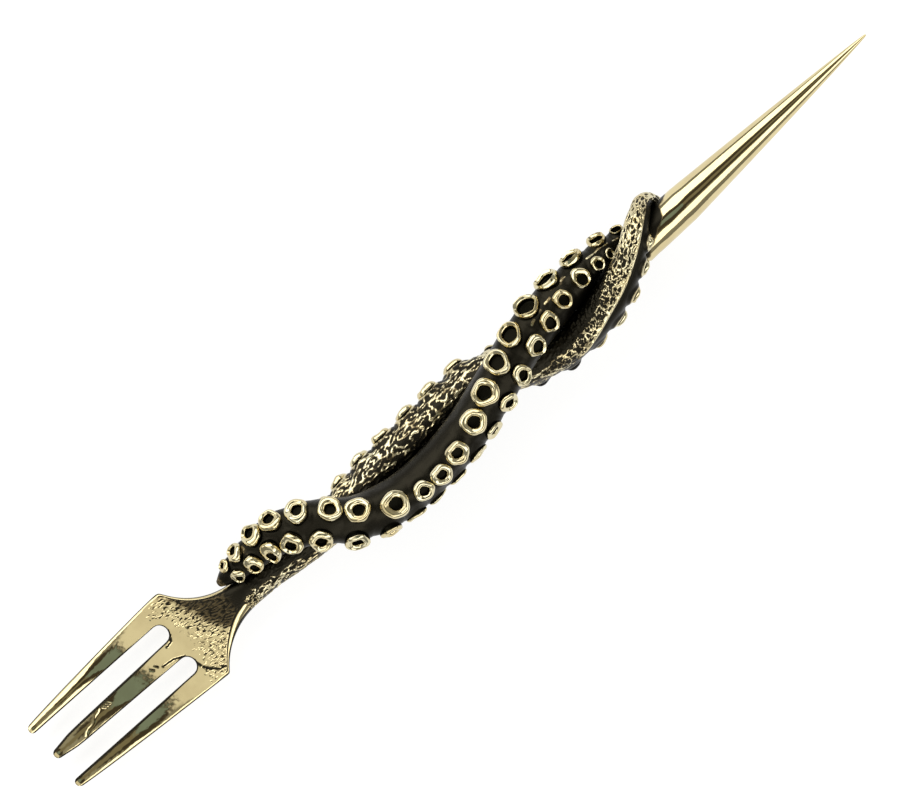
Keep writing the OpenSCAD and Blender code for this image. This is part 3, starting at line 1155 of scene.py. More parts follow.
@dataclass
class SuckerRow(Piece):
    """A row of hand-made cups on one side of a tentacle's sucker face.

    Attributes:
        tentacle: the arm that carries the row.
        side: side of its sucker face.
        cups: the cups in order.
        seed: start of the row's random draws.
        hole: radius of the hole of a true cup, in radii.
        holes: radius of the holes along the row, in radii.
        hoods: how far the cups lean over their holes along the row, in radii.
        profile: half section of a cup of radius 1, as rows of step, distance from the axis and height.
        profile_points: points along the half section.
        steps: points round a cup.
        squeeze: least and most that a cup is pressed to an oval.
        lobes: waves of three and of five round a cup's outline.
        tilts: waves of one and of three round the height of its rim.
        stray: most that its hole is off the middle.
        lean_rise: how much higher the rim is at the back, for each degree of lean.
        lean_shift: how far the hole is moved, for each degree of lean.
        hood_rise: height of a hood's back, in hoods.
        crease_at: distance of the crease round the hole from the axis.
        crease_depth: depth of that crease.
        dents: dents across a cup of radius 1.
        dent_depth: depth of the dents in the rim.
        dent_push: how far the dents push the outline.
    """

    tentacle: Tentacle
    side: Row
    cups: list[Cup]
    seed: int
    hole: float = 0.41
    holes: Ramp = Ramp(((0, 0.41),))
    hoods: Ramp = NOWHERE
    profile: Table = Table((
        (0, 0, -0.36), (1, 0.5, -0.36), (2, 0.9, -0.34), (3, 0.94, -0.04), (4, 0.98, 0.12), (5, 0.995, 0.27),
        (6, 0.97, 0.41), (7, 0.9, 0.52), (8, 0.81, 0.585), (9, 0.72, 0.605), (10, 0.63, 0.585),
        (11, 0.55, 0.54), (12, 0.48, 0.48), (13, 0.43, 0.39), (14, 0.405, 0.23), (15, 0.39, 0.07),
        (16, 0.22, 0.045), (17, 0, 0.045),
    ))
    profile_points: int = 43
    steps: int = 48
    squeeze: Span = (0.02, 0.06)
    lobes: Span = (0.035, 0.025)
    tilts: Span = (0.12, 0.08)
    stray: float = 0.07
    lean_rise: float = 0.022
    lean_shift: float = 0.014
    hood_rise: float = 1.3
    crease_at: float = 0.62
    crease_depth: float = 0.07
    dents: float = 2.6
    dent_depth: float = 0.03
    dent_push: float = 0.02

    def template(self, bm: bmesh.types.BMesh) -> list:
        """Spins one true cup of radius 1 about z.

        Args:
            bm: empty bmesh.

        Returns:
            The cup's vertices, edges and faces.
        """
        section = self.profile.at(np.linspace(self.profile.start, self.profile.end, self.profile_points))
        section[[0, -1], 1] = 0.0
        spin_section(bm, [(wide, 0.0, high) for _, wide, high in section.tolist()], (0, 0, 1), self.steps)
        return bm.verts[:] + bm.edges[:] + bm.faces[:]

    def polish_of(
        self, wide: np.ndarray, high: np.ndarray, crease: np.ndarray, rub: np.ndarray
    ) -> np.ndarray:
        """Polish over a cup.

        Args:
            wide: distance from the cup's axis, in radii.
            high: height over the skin, in radii.
            crease: how deep the crease round the hole is, from 0 to 1.
            rub: how far down the rim is rubbed bright, from 0 to 1.

        Returns:
            Polish from 0 to 1.
        """
        low = 0.44 - 0.4 * rub
        rim = smoothstep(low, low + 0.2, high) * smoothstep(self.hole - 0.005, self.hole + 0.025, wide)
        return np.clip(rim * (1.0 - 0.8 * crease * bell(wide - self.crease_at, 0.03)), 0.0, 1.0)

    def pressed(self, cup: Cup, true: np.ndarray, draw: random.Random) -> tuple[np.ndarray, np.ndarray]:
        """Presses a true cup out of true, as the hand that made it did.

        Args:
            cup: the cup's place and size.
            true: points of a true cup of radius 1, an array of rows of three.
            draw: source of the row's random draws.

        Returns:
            The pressed cup's points and their polish.
        """
        out_side, local = self.side.value, true.copy()
        wide, angle = np.hypot(local[:, 0], local[:, 1]), np.arctan2(local[:, 1], local[:, 0])
        hood = float(self.hoods.value(cup.station))
        late = float(self.holes.value(cup.station)) / self.hole - 1
        phase = [draw.uniform(0, math.tau) for _ in range(5)]
        out = 1 + draw.uniform(*self.squeeze) * np.cos(2 * angle + phase[0])
        out += self.lobes[0] * np.cos(3 * angle + phase[1]) + self.lobes[1] * np.cos(5 * angle + phase[2])
        inside = np.clip(-out_side * np.sin(angle), 0, 1)
        rise = 1 + self.tilts[0] * np.cos(angle + phase[3]) + self.tilts[1] * np.cos(3 * angle + phase[4])
        rise += self.lean_rise * cup.lean * np.cos(angle) + self.hood_rise * hood * inside
        off = draw.uniform(0.0, self.stray)
        crease = np.clip(draw.uniform(-0.5, 0.9) + 0.5 * np.sin(2 * angle + phase[1]), 0, 1)
        crease *= 1 - 2.5 * hood
        rub = cup.rub * (1 - 0.25 * (1 - np.cos(angle + phase[2])) / 2)
        polish = self.polish_of(wide, local[:, 2], crease, rub)

        fold = crease * bell(wide - self.crease_at, 0.055) * smoothstep(0.3, 0.4, local[:, 2])
        local[:, 2] -= self.crease_depth * fold
        dent = grain(self.dents * local + cup.station) * smoothstep(0.1, 0.3, local[:, 2])
        local[:, 2] += self.dent_depth * dent
        widen = 1 + late * (1 - smoothstep(self.hole, 0.95, wide)) + self.dent_push * dent
        local[:, :2] *= (out * widen)[:, None]
        inner = 1 - smoothstep(0.5, 0.98, wide)
        local[:, 0] += inner * (off * math.cos(phase[4]) - self.lean_shift * cup.lean)
        local[:, 1] += inner * (off * math.sin(phase[4]) + out_side * hood)
        local[:, 1] -= out_side * 0.7 * hood * inside * wide
        local[:, 2] = np.where(local[:, 2] > 0.1, local[:, 2] * rise * cup.height, local[:, 2])
        return local, polish

    def shape(self, bm: bmesh.types.BMesh) -> None:
        """Copies the spun cup to every seat, each copy pressed a little out of true.

        Args:
            bm: empty bmesh.
        """
        draw = random.Random(self.seed)
        layer = bm.verts.layers.float.new(POLISH)
        template = self.template(bm)
        for cup in self.cups:
            copy = bmesh.ops.duplicate(bm, geom=template)["geom"]
            verts = [item for item in copy if isinstance(item, bmesh.types.BMVert)]
            local, polish = self.pressed(cup, np.array([vert.co for vert in verts]), draw)
            seat = self.tentacle.seat(cup, self.side) @ Matrix.Scale(cup.diameter / 2, 4)
            set_points(verts, layer, np.array([seat @ Vector(point) for point in local.tolist()]), polish)
        spare = [item for item in template if isinstance(item, bmesh.types.BMVert)]
        bmesh.ops.delete(bm, geom=spare, context="VERTS")


@dataclass(frozen=True)
class FacePoints:
    """Points of the fork's upper face, in the shape of its grid.

    Attributes:
        x: x of the points, counted on every tine from its own tip.
        y: y of the points.
        outer: distance from the outer edge.
        slot: distance from the nearest slot.
        bevel: width of the bevel along the outer edge.
        rough: fine noise from about -1 to 1.
        coarse: noise of a larger size, from about -1 to 1.
    """

    x: np.ndarray
    y: np.ndarray
    outer: np.ndarray
    slot: np.ndarray
    bevel: np.ndarray
    rough: np.ndarray
    coarse: np.ndarray


@dataclass
class ForkHead(Piece):
    """The three-tined head with its shoulders and round neck.

    Attributes:
        length: from the tips to the end face of the neck.
        shoulder: width across the shoulders.
        shoulder_x: x of the shoulders.
        left_corner: how far the left shoulder's corner is rounded.
        right_corner: how far the right shoulder's corner is rounded.
        tips: width across the tips of the outer tines.
        outer_reach: length by which the outer tines reach past the middle one.
        outer_ease: length of the tines over which that reach is drawn out.
        outer_inside: y of the inner edge of an outer tine.
        middle: half width of the middle tine, as rows of x and half width.
        slot_length: from the tips to the ends of the slots.
        slot_round: depth of the round slot ends.
        slot_ease: length of the palm over which its rows straighten behind the slots.
        neck: diameter of the neck.
        neck_run: length of the neck past the shoulders' arcs.
        neck_y: y of the neck's axis.
        neck_z: height of the neck's axis.
        side: side view as rows of x, height of the mid plane and half the thickness.
        tip_round: length over which a tip is rounded in plan.
        nose: length over which a tine's thickness runs out at its tip.
        tip_length: length of the tips, where the rows lie closer.
        tip_rows: rows of the grid over the tips.
        tine_rows: rows of the grid as far as the round slot ends.
        palm_rows: rows of the grid from there to the neck's end.
        tine_columns: columns across a tine.
        slot_columns: columns across a slot.
        creases: dark lines left by the casting, each with its width.
        crease_depth: depth of those lines.
        scratch: corners of a shallow bright line on the middle tine.
        scratch_width: half the width of that line.
        scratch_depth: depth of that line.
        scored: corners of the middle of a deeply scored band on the palm.
        scored_width: half the width of that band.
        pit_depth: depth of the scoring on the palm.
        pit_size: length and width of a score.
        pit_slant: rise to the side of a score, for its length.
        rough_size: length and width of the palm's roughness.
        coarse_size: length and width of the patches of patina.
        wave_size: length and width of the waves left by hand finishing.
        wave_depth: depth of those waves.
        net_cell: length and width of a cell of the net on the neck's right flank.
        net_height: height of that net.
        net_base: share of that height by which its pits lie under the smooth neck.
        net_wall: wander of its walls, half the width of their tops and width of their sides, in cells.
        net_from: x where the net starts and is full.
        bevel_widths: width of the bevel on the tines, and what the shoulders and the neck's right add.
        bevel_shoulder: x where the shoulders' part starts and is full.
        bevel_neck: x where the neck's part starts and is full.
        dome_falls: fall of the left, middle and right tine's face to its edges, near the tip.
        dome_rest: what is left of that fall further back, and is added to it near the tip.
        dome_reach: half the width of a tine that has the full fall.
        dome_tips: x where the tips' fall starts to flatten and where it is gone.
        dome_ends: x where the tines start to level out and where they are level.
        palm_from: x where the scored palm starts and is full.
        palm_to: x where it starts to run out and has run out.
        climb_slant: how much further up the palm a point counts, for each millimetre to the left.
        climb_stray: how far the patches of patina change that.
        dark_climb: how far up the palm the neck's patina starts and is full.
        shade_line_widths: width of the painted shade lines along the slots, on the wide side and on the thin
            one.
    """

    length: float = 40.5
    shoulder: float = 17.1
    shoulder_x: float = 29.2
    left_corner: float = 0.8
    right_corner: float = 0.2
    tips: float = 12.4
    outer_reach: float = 0.4
    outer_ease: float = 7.0
    outer_inside: float = 4.8
    middle: Table = Table(((0, 0.7), (2, 1.0), (4, 1.28), (8, 1.42), (27, 1.82)))
    slot_length: float = 26.3
    slot_round: float = 1.4
    slot_ease: float = 6.0
    neck: float = 5.3
    neck_run: float = 1.0
    neck_y: float = -0.65
    neck_z: float = 4.3
    side: Table = Table((
        (-1, 3.9, 0.44), (6, 2.3, 0.825), (13, 1.25, 1.045), (20, 1.3, 1.1), (27, 2.25, 1.155),
        (33, 3.5, 1.65), (37.5, 4.2, 2.385), (40.5, 4.3, 2.65),
    ))
    tip_round: float = 0.7
    nose: float = 1.5
    tip_length: float = 1.2
    tip_rows: int = 15
    tine_rows: int = 170
    palm_rows: int = 176
    tine_columns: int = 32
    slot_columns: int = 26
    creases: tuple[tuple[float, Stroke], ...] = (
        (0.19, ((22.2, -0.8), (24, -1), (25.7, -1.8), (26.3, -3.5), (27, -5.5), (28.5, -7), (29.5, -7.2))),
        (0.19, ((24.6, 1.1), (25.6, 1.3), (26.2, 2.2))),
        (0.15, ((20.4, 0.1), (20.7, -0.3))),
        (0.15, ((21.2, 0.1), (21.5, -0.3))),
        (0.1, ((10.7, 0.8), (11.0, 0.35))),
        (0.1, ((11.2, 0.8), (11.5, 0.35))),
        (0.1, ((11.7, 0.8), (12.0, 0.35))),
    )
    crease_depth: float = 0.1
    scratch: Stroke = (
        (5.9, -1.0), (6.3, -0.6), (6.9, -0.35), (7.6, -0.3), (8.1, -0.1), (8.5, 0.3), (9.0, 0.6), (9.6, 0.7),
        (10.0, 1.0),
    )
    scratch_width: float = 0.19
    scratch_depth: float = 0.07
    scored: Stroke = ((25.6, 6.4), (27.4, 4.6), (29.5, 2.1), (31.0, -0.6))
    scored_width: float = 0.8
    pit_depth: float = 0.09
    pit_size: Span = (0.72, 0.25)
    pit_slant: float = 0.25
    rough_size: Span = (0.6, 0.36)
    coarse_size: Span = (2.2, 0.9)
    wave_size: Span = (3.4, 1.9)
    wave_depth: float = 0.022
    net_cell: Span = (0.8, 0.45)
    net_height: float = 0.14
    net_base: float = 0.4
    net_wall: Point = (0.3, 0.02, 0.16)
    net_from: Span = (38.0, 39.2)
    bevel_widths: Point = (0.22, 0.22, 0.95)
    bevel_shoulder: Span = (26.5, 30.0)
    bevel_neck: Span = (29.5, 37.5)
    dome_falls: Point = (0.42, 0.2, 0.11)
    dome_rest: float = 0.05
    dome_reach: float = 1.6
    dome_tips: Span = (9.0, 16.0)
    dome_ends: Span = (20.0, 26.0)
    palm_from: Span = (26.0, 29.5)
    palm_to: Span = (36.0, 38.5)
    climb_slant: float = 0.42
    climb_stray: float = 1.1
    dark_climb: Span = (29.0, 33.4)
    shade_line_widths: Span = (0.6, 0.34)

    @property
    def arc_x(self) -> float:
        """x where the round ends of the slots start."""
        return self.slot_length - self.slot_round

    @property
    def neck_x(self) -> float:
        """x where the shoulders' arcs reach the neck."""
        return self.length - self.neck_run

    def tine_edge(self, x: np.ndarray) -> np.ndarray:
        """Half the width over the tines at x."""
        return (self.tips + (self.shoulder - self.tips) * np.clip(x / self.shoulder_x, 0, None) ** 0.75) / 2

    def edge(self, x: np.ndarray, sign: float) -> np.ndarray:
        """Outer edge of one half: the tine's edge and the shoulder's arc, joined by a rounded corner.

        Args:
            x: where to measure it.
            sign: sign of y on that half.

        Returns:
            Distance from the middle line to the edge at each x.
        """
        stop = sign * self.neck_y + self.neck / 2
        rise, run = self.shoulder / 2 - stop, self.neck_x - self.shoulder_x
        bend = (run * run + rise * rise) / (2 * rise)
        back = np.clip(self.neck_x - x, 0, run)
        steep = run / (bend - rise)
        arc = stop + bend - np.sqrt(bend**2 - back**2) + steep * np.clip(self.shoulder_x - x, 0, None)
        tine = self.tine_edge(x)
        return (tine + arc - np.hypot(tine - arc, self.left_corner if sign > 0 else self.right_corner)) / 2

    def own_edge(self, x: np.ndarray, y: np.ndarray) -> np.ndarray:
        """Distance from the middle line to the outer edge, on each point's own half."""
        return np.where(y > 0, self.edge(x, 1), self.edge(x, -1))

    def rows_x(self) -> np.ndarray:
        """Spaces the rows of the grid.

        Returns:
            x of each row.
        """
        tip = np.linspace(0, self.tip_length, self.tip_rows + 1)
        tines = np.linspace(self.tip_length, self.arc_x, self.tine_rows - self.tip_rows)[1:]
        return np.concatenate([tip, tines, np.linspace(self.arc_x, self.length, self.palm_rows + 1)[1:]])

    def edges_at(self, x: np.ndarray) -> list[np.ndarray]:
        """Edges of the tines.

        Args:
            x: where to measure them.

        Returns:
            y of the six edges at each x, from the left.
        """
        round_off = np.sqrt(np.clip(1 - np.clip(1 - x / self.tip_round, 0, 1) ** 2, 0, 1))
        outer, inner = self.tine_edge(x), np.full_like(x, self.outer_inside)
        mid = (self.tips / 2 + self.outer_inside) / 2
        outer, inner = mid + (outer - mid) * round_off, mid + (inner - mid) * round_off
        half = self.middle.value(x) * round_off
        return [outer, inner, half, -half, -inner, -outer]

    def plan(self) -> tuple[np.ndarray, np.ndarray]:
        """Lays out the grid in plan, in rows from the tips and columns from the left.

        Returns:
            The x of each vertex, counted on every tine from its own tip, and the y.
        """
        x = self.rows_x()
        arc_row = self.tine_rows
        arc = x[arc_row]
        edges = self.edges_at(np.minimum(x, arc))
        counts = [self.tine_columns, self.slot_columns] * 2 + [self.tine_columns]
        strips = [
            left[:, None] + (right - left)[:, None] * np.linspace(0, 1, count + 1)[None, :-1]
            for left, right, count in zip(edges, edges[1:], counts)
        ]
        y = np.concatenate(strips + [edges[-1][:, None]], axis=1)
        wide_x = np.repeat(x[:, None], y.shape[1], axis=1)
        share = y[arc_row] / edges[0][arc_row]
        turn = smoothstep(self.shoulder_x, self.neck_x, x)[:, None]
        share = share[None, :] * (1 - turn) + np.sin(share * np.pi / 2)[None, :] * turn
        palm = np.where(share > 0, share * self.edge(x, 1)[:, None], share * self.edge(x, -1)[:, None])
        y = np.where(np.arange(len(x))[:, None] > arc_row, palm, y)
        depth = np.zeros(y.shape[1])
        across = np.linspace(-1, 1, self.slot_columns + 1)
        end = self.slot_round * np.sqrt(np.clip(1 - across**2, 0, 1))
        for first in (self.tine_columns, 2 * self.tine_columns + self.slot_columns):
            depth[first : first + len(end)] = end
        left = np.clip(1 - (wide_x - arc) / self.slot_ease, 0, 1) * (np.arange(len(x))[:, None] >= arc_row)
        return wide_x + depth[None, :] * left, y

    def stretch(self, x: np.ndarray, y: np.ndarray) -> np.ndarray:
        """Draws the outer tines out past the middle one.

        Args:
            x: x of the grid's vertices, counted on every tine from its own tip.
            y: y of the grid's vertices.

        Returns:
            The x on the finished head.
        """
        ease = np.clip(1 - x / self.outer_ease, 0, 1) ** 2
        return x - self.outer_reach * ease * (np.abs(y) > self.outer_inside / 2)

    def edge_distance(self, x: np.ndarray, y: np.ndarray) -> tuple[np.ndarray, np.ndarray]:
        """Measures how far points are from the edges.

        Args:
            x: x of the points.
            y: y of the points.

        Returns:
            Distance from the outer edge and from the nearest slot.
        """
        outer = self.own_edge(x, y) - np.abs(y)
        half = self.middle.value(np.minimum(x, self.arc_x).ravel()).reshape(x.shape)
        centre, wide = (self.outer_inside + half) / 2, (self.outer_inside - half) / 2
        slot = np.hypot(np.clip(x - self.arc_x, 0, None), np.abs(y) - centre) - wide
        return np.clip(outer, 0, None), np.clip(slot, 0, None)

    def bevel(self, x: np.ndarray, y: np.ndarray) -> np.ndarray:
        """Width of the bevel along the outer edge, which is widest on the right of the neck."""
        right = np.where(y > 0, 0.0, self.bevel_widths[2]) * smoothstep(*self.bevel_neck, x)
        return self.bevel_widths[0] + self.bevel_widths[1] * smoothstep(*self.bevel_shoulder, x) + right

    def dome(self, x: np.ndarray, y: np.ndarray) -> np.ndarray:
        """Rounds the tines' upper faces, the left one most and the right one least.

        Args:
            x: x of the points.
            y: y of the points.

        Returns:
            Fall of the face at each point, from 0 along the middle of a tine.
        """
        left, inner, half = (edge.reshape(x.shape) for edge in self.edges_at(x.ravel())[:3])
        outer_tine = np.abs(y) > (inner + half) / 2
        middle = np.where(outer_tine, (left + inner) / 2, 0.0)
        reach = np.where(outer_tine, (left - inner) / 2, half)
        share = np.clip((np.abs(y) - middle) / np.maximum(reach, 0.05), -1, 1)
        left_fall, middle_fall, right_fall = self.dome_falls
        fall = np.where(outer_tine, np.where(y > 0, left_fall, right_fall), middle_fall)
        fall = fall * (1 - smoothstep(*self.dome_tips, x)) + self.dome_rest
        return fall * share**2 * reach / self.dome_reach * (1 - smoothstep(*self.dome_ends, x))

    def blank(self, face: FacePoints) -> tuple[np.ndarray, np.ndarray]:
        """Shapes the head before its marks: flat tines that turn into a round neck, with bevelled edges.

        Args:
            face: points of the upper face.

        Returns:
            Height of the upper and of the lower face.
        """
        x, y = face.x, face.y
        view = self.side.at(self.stretch(x, y).ravel())
        mid, half = view[:, 1].reshape(x.shape), view[:, 2].reshape(x.shape)
        half = half * np.sqrt(np.clip(1 - np.clip(1 - x / self.nose, 0, 1) ** 2, 0, 1))
        turn = np.clip((x - self.shoulder_x) / (self.neck_x - self.shoulder_x), 0, 1) ** 2
        corner = 2 / (0.3 + 0.7 * turn)
        inside = np.clip(np.abs(y) / np.maximum(self.own_edge(x, y), 1e-6), 0, 1) * (0.975 + 0.025 * turn)
        crown = half * np.clip(1 - inside**corner, 0, None) ** (1 / corner)
        slope = 0.45 * (1 - turn) * np.where(y > 0, 1.0, 1 - 0.85 * smoothstep(29.5, 33.0, x))
        drop = slope * np.clip(face.bevel - face.outer, 0, None) + 0.6 * np.clip(0.16 - face.slot, 0, None)
        drop = np.minimum(drop, 0.6 * crown) + self.dome(x, y)
        lift = np.minimum(0.8 * np.clip(0.2 - face.slot, 0, None), 0.5 * crown)
        return mid + crown - drop, mid - crown + lift

    @staticmethod
    def plan_grain(x: np.ndarray, y: np.ndarray, size: Span) -> np.ndarray:
        """Smooth noise over the plan.

        Args:
            x: x of the points.
            y: y of the points.
            size: size of the noise along x and along y.

        Returns:
            Noise from about -1 to 1, in the shape of x.
        """
        flat = np.stack([x.ravel() / size[0], y.ravel() / size[1], np.zeros(x.size)], axis=1)
        return grain(flat).reshape(x.shape)

    def cuts(self, face: FacePoints) -> np.ndarray:
        """Dark lines in the upper face: the creases, and a groove inside the shoulders' bevel.

        Args:
            face: points of the upper face.

        Returns:
            The lines at each point, from 0 to 1 in their middle.
        """
        x = face.x
        cut = bell(face.outer - face.bevel - 0.12, 0.15)
        cut = cut * smoothstep(28.0, 29.5, x) * (1 - smoothstep(37.0, 38.5, x))
        for width, crease in self.creases:
            cut = np.maximum(cut, bell(stroke_distance(x, face.y, crease), width))
        return cut

    def scoring(self, face: FacePoints, palm: np.ndarray, climb: np.ndarray) -> np.ndarray:
        """Short slanting scores of the palm, which are deepest toward the neck and on the right.

        Args:
            face: points of the upper face.
            palm: how far each point belongs to the scored palm, from 0 to 1.
            climb: how far up the palm each point is.

        Returns:
            The scores at each point, from 0 to 1.
        """
        slant = face.y + self.pit_slant * face.x
        score = smoothstep(-0.06, 0.2, self.plan_grain(face.x, slant, self.pit_size))
        score *= 0.8 + 0.2 * np.maximum(smoothstep(27.0, 31.5, climb), smoothstep(1.5, 4.0, -face.y))
        return palm * score * smoothstep(-0.5, 0.05, face.rough)

    def shade_lines(self, face: FacePoints) -> np.ndarray:
        """Painted shade: thin dark lines along the slots and the outer edge, wider on the left of the middle
        tine and of the right one.

        Args:
            face: points of the upper face.

        Returns:
            Share of the polish that is left at each point.
        """
        x, y = face.x, face.y
        past_slot = np.abs(y) - (self.outer_inside + 1.5) / 2
        line = np.where(np.where(y > 0, past_slot < 0, past_slot > 0), *self.shade_line_widths)
        line = line * (1 - 0.4 * smoothstep(18.0, 23.0, x))
        # A painted shade line runs along the outer edge too.
        outline = np.where(x > 27.0, np.maximum(0.18, 0.42 * face.bevel), 0.18)
        outer = 0.1 + 0.9 * smoothstep(0.5 * outline, outline, face.outer)
        return smoothstep(0.4 * line, line, face.slot) * outer

    def patina(self, face: FacePoints, dark: np.ndarray, mark: np.ndarray, cut: np.ndarray) -> np.ndarray:
        """Rubs the upper face bright, apart from the way up to the neck, the marks, a darker patch on the
        right tine and the painted shade lines along the edges.

        Args:
            face: points of the upper face.
            dark: how far the patina of the neck has come down the palm, from 0 to 1.
            mark: patina left in the scores, from 0.
            cut: dark lines, from 0 to 1.

        Returns:
            Polish from 0 to 1.
        """
        x, y = face.x, face.y
        # A darker patch on the right tine, near its root, where the polish drops.
        stain = bell(x - 21.0, 1.5) * bell(y + 6.4, 0.9) * smoothstep(-0.2, 0.4, face.coarse)
        polish = np.clip(1 - 0.68 * dark - mark - 0.7 * stain, 0, 1)
        polish *= 1 - 0.9 * smoothstep(36.0, 39.5, x)
        rim = 1 - smoothstep(0.75, 1.15, face.outer / np.maximum(face.bevel, 1e-3))
        rim *= 1 - smoothstep(*self.net_from, x)
        return np.maximum(polish, rim) * (1 - smoothstep(0.25, 0.6, cut)) * self.shade_lines(face)

    def neck_net(self, face: FacePoints, upper: np.ndarray) -> tuple[np.ndarray, np.ndarray]:
        """Net on the right flank of the neck, where it meets the rear tentacle.

        Args:
            face: points of the upper face.
            upper: height of the upper face.

        Returns:
            The net's ridges, from 0 to 1, and the share of the net at each point.
        """
        along, across = self.net_cell
        sides = (face.y - self.neck_y) / across, (upper - self.neck_z) / across
        cells = np.stack([(face.x - self.length) / along, *sides], axis=-1).reshape(-1, 3)
        wander, top, slope = self.net_wall
        away = net_distance(cells, wander).reshape(upper.shape) - top
        ridge = 1 - np.clip(away / slope, 0, 1)
        flank = smoothstep(*self.net_from, face.x) * smoothstep(0.2, 1.2, self.neck_y - face.y)
        return ridge, flank

    def surfaces(self, x: np.ndarray, y: np.ndarray) -> tuple[np.ndarray, np.ndarray, np.ndarray, np.ndarray]:
        """Heights and polish of the two faces.

        Args:
            x: x of the grid's vertices.
            y: y of the grid's vertices.

        Returns:
            Height of the upper and of the lower face, and polish of the upper and of the lower face.
        """
        rough, coarse = (self.plan_grain(x, y, size) for size in (self.rough_size, self.coarse_size))
        face = FacePoints(x, y, *self.edge_distance(x, y), self.bevel(x, y), rough, coarse)
        upper, lower = self.blank(face)
        band = bell(stroke_distance(x, y, self.scored), self.scored_width)
        palm = smoothstep(*self.palm_from, x + 0.25 * np.abs(y)) * (1 - smoothstep(*self.palm_to, x))
        palm = np.maximum(palm, band) * smoothstep(0.1, 0.6, face.outer - face.bevel)
        palm = palm * smoothstep(0.4, 1.5, face.slot)
        climb = x + self.climb_slant * y + self.climb_stray * coarse
        pit, cut = self.scoring(face, palm, climb), self.cuts(face)
        wave = self.wave_depth * self.plan_grain(x, y, self.wave_size) + 0.006 * rough
        upper = upper - self.pit_depth * pit - self.crease_depth * cut + 0.05 * palm * rough + wave
        upper = upper - self.scratch_depth * bell(stroke_distance(x, y, self.scratch), self.scratch_width)
        dark = smoothstep(*self.dark_climb, climb)
        mark = (0.75 + 0.3 * band) * pit * (1 - 0.75 * dark)
        polish = self.patina(face, dark, mark, cut)
        ridge, flank = self.neck_net(face, upper)
        upper = upper + self.net_height * flank * (ridge - self.net_base)
        polish = np.clip(polish * (1 - flank) + flank * ridge, 0, 1)
        return upper, lower, polish, 1 - 0.9 * smoothstep(27.0, 41.0, x + 1.2 * coarse)

    def shape(self, bm: bmesh.types.BMesh) -> None:
        """Bends a slotted grid to the plan and side view and thickens it.

        Args:
            bm: empty bmesh.
        """
        x, y = self.plan()
        row, column = grid_places(bm, *x.shape)
        row_layer, column_layer = (bm.verts.layers.int.new(name) for name in ("row", "column"))
        polish_layer = bm.verts.layers.float.new(POLISH)
        upper, lower, polish, under = self.surfaces(x, y)
        x = self.stretch(x, y)
        for vert, i, j in zip(bm.verts, row.tolist(), column.tolist()):
            vert.co = (x[i, j], y[i, j], upper[i, j])
            vert[row_layer], vert[column_layer], vert[polish_layer] = i, j, polish[i, j]
        pitch = self.tine_columns + self.slot_columns
        gaps = []
        for face in bm.faces:
            i = max(vert[row_layer] for vert in face.verts)
            j = min(vert[column_layer] for vert in face.verts)
            if i <= self.tine_rows and j % pitch >= self.tine_columns:
                gaps.append(face)
        bmesh.ops.delete(bm, geom=gaps, context="FACES")
        copy = bmesh.ops.extrude_face_region(bm, geom=bm.faces[:])["geom"]
        for vert in (item for item in copy if isinstance(item, bmesh.types.BMVert)):
            i, j = vert[row_layer], vert[column_layer]
            vert.co.z = lower[i, j]
            vert[polish_layer] = under[i, j]
        bmesh.ops.remove_doubles(bm, verts=bm.verts, dist=SEAM_GAP)


@dataclass
class Pick(Piece):
    """The round pick, with its shoulder and its tang between the tentacles.

    Attributes:
        place: middle of the shoulder.
        yaw: degrees that the point is turned to the left.
        diameter: diameter of the shank.
        length: from the shoulder to the point.
        shank: length of the shank before the taper.
        taper_power: power of the taper's curve, 1 for a straight cone.
        point: diameter of the blunted point.
        tang: diameter of the tang.
        tang_length: length of the tang.
        shoulder: length of the cone from the tang to the shank.
        rings: rings from the shoulder to the point.
        steps: points round the pick.
        dent_size: length, width and height of the hammered dents.
        dent_depth: depth of the dents, in radii, and how much more they have at the base.
        base: distances along the axis over which that extra depth runs out.
        shade_gap: distances from the tentacles between which the patina and painted shade next to them give
            way to the polish.
        arms: tentacles that lie on the shank.
    """

    place: Point = (121.5, -1.05, 7.3)
    yaw: float = 1.2
    diameter: float = 6.3
    length: float = 48.5
    shank: float = 9.5
    taper_power: float = 0.85
    point: float = 0.3
    tang: float = 2.2
    tang_length: float = 9.0
    shoulder: float = 4.5
    rings: int = 190
    steps: int = 112
    dent_size: Point = (2.6, 1.5, 1.5)
    dent_depth: Span = (0.003, 0.012)
    base: Span = (5.0, 16.0)
    shade_gap: Span = (0.6, 3.0)
    arms: tuple[Tentacle, ...] = ()

    def section(self) -> list[Point]:
        """Half section of the pick.

        Returns:
            Points in the plane of x and z, from the tang's end to the point, both on the axis.
        """
        r, tip = self.diameter / 2, self.point / 2
        end = -self.shoulder - self.tang_length
        along = np.linspace(0, self.length, self.rings)
        u = np.clip((along - self.shank) / (self.length - self.shank), 0, 1)
        wide = tip + (r - tip) * (1 - u) ** self.taper_power
        tang = [(end, 0.0), (end, self.tang / 2), (-self.shoulder, self.tang / 2)]
        rows = tang + list(zip(along.tolist(), wide.tolist())) + [(self.length, 0.0)]
        return [(x, 0.0, z) for x, z in rows]

    def shape(self, bm: bmesh.types.BMesh) -> None:
        """Spins the half section, hammers it a little and lays it along the handle.

        Args:
            bm: empty bmesh.
        """
        spin_section(bm, self.section(), (1, 0, 0), self.steps)
        local = np.array([vert.co for vert in bm.verts])
        depth = self.dent_depth[0] + self.dent_depth[1] * (1 - smoothstep(*self.base, local[:, 0]))
        dent = depth * grain(local / np.array(self.dent_size))
        local[:, 1:] *= (1 + dent * smoothstep(0, 2, local[:, 0]))[:, None]
        place = Matrix.Translation(self.place) @ Matrix.Rotation(math.radians(self.yaw), 4, "Z")
        local = np.array([place @ Vector(point) for point in local.tolist()])
        # Darker next to the tentacles: patina at the joint, and painted shade where they meet the pick.
        gap = np.minimum.reduce([arm.gap(local) for arm in self.arms])
        polish = smoothstep(*self.shade_gap, gap + 0.6 * grain(local / 1.1))
        set_points(bm.verts, bm.verts.layers.float.new(POLISH), local, polish)


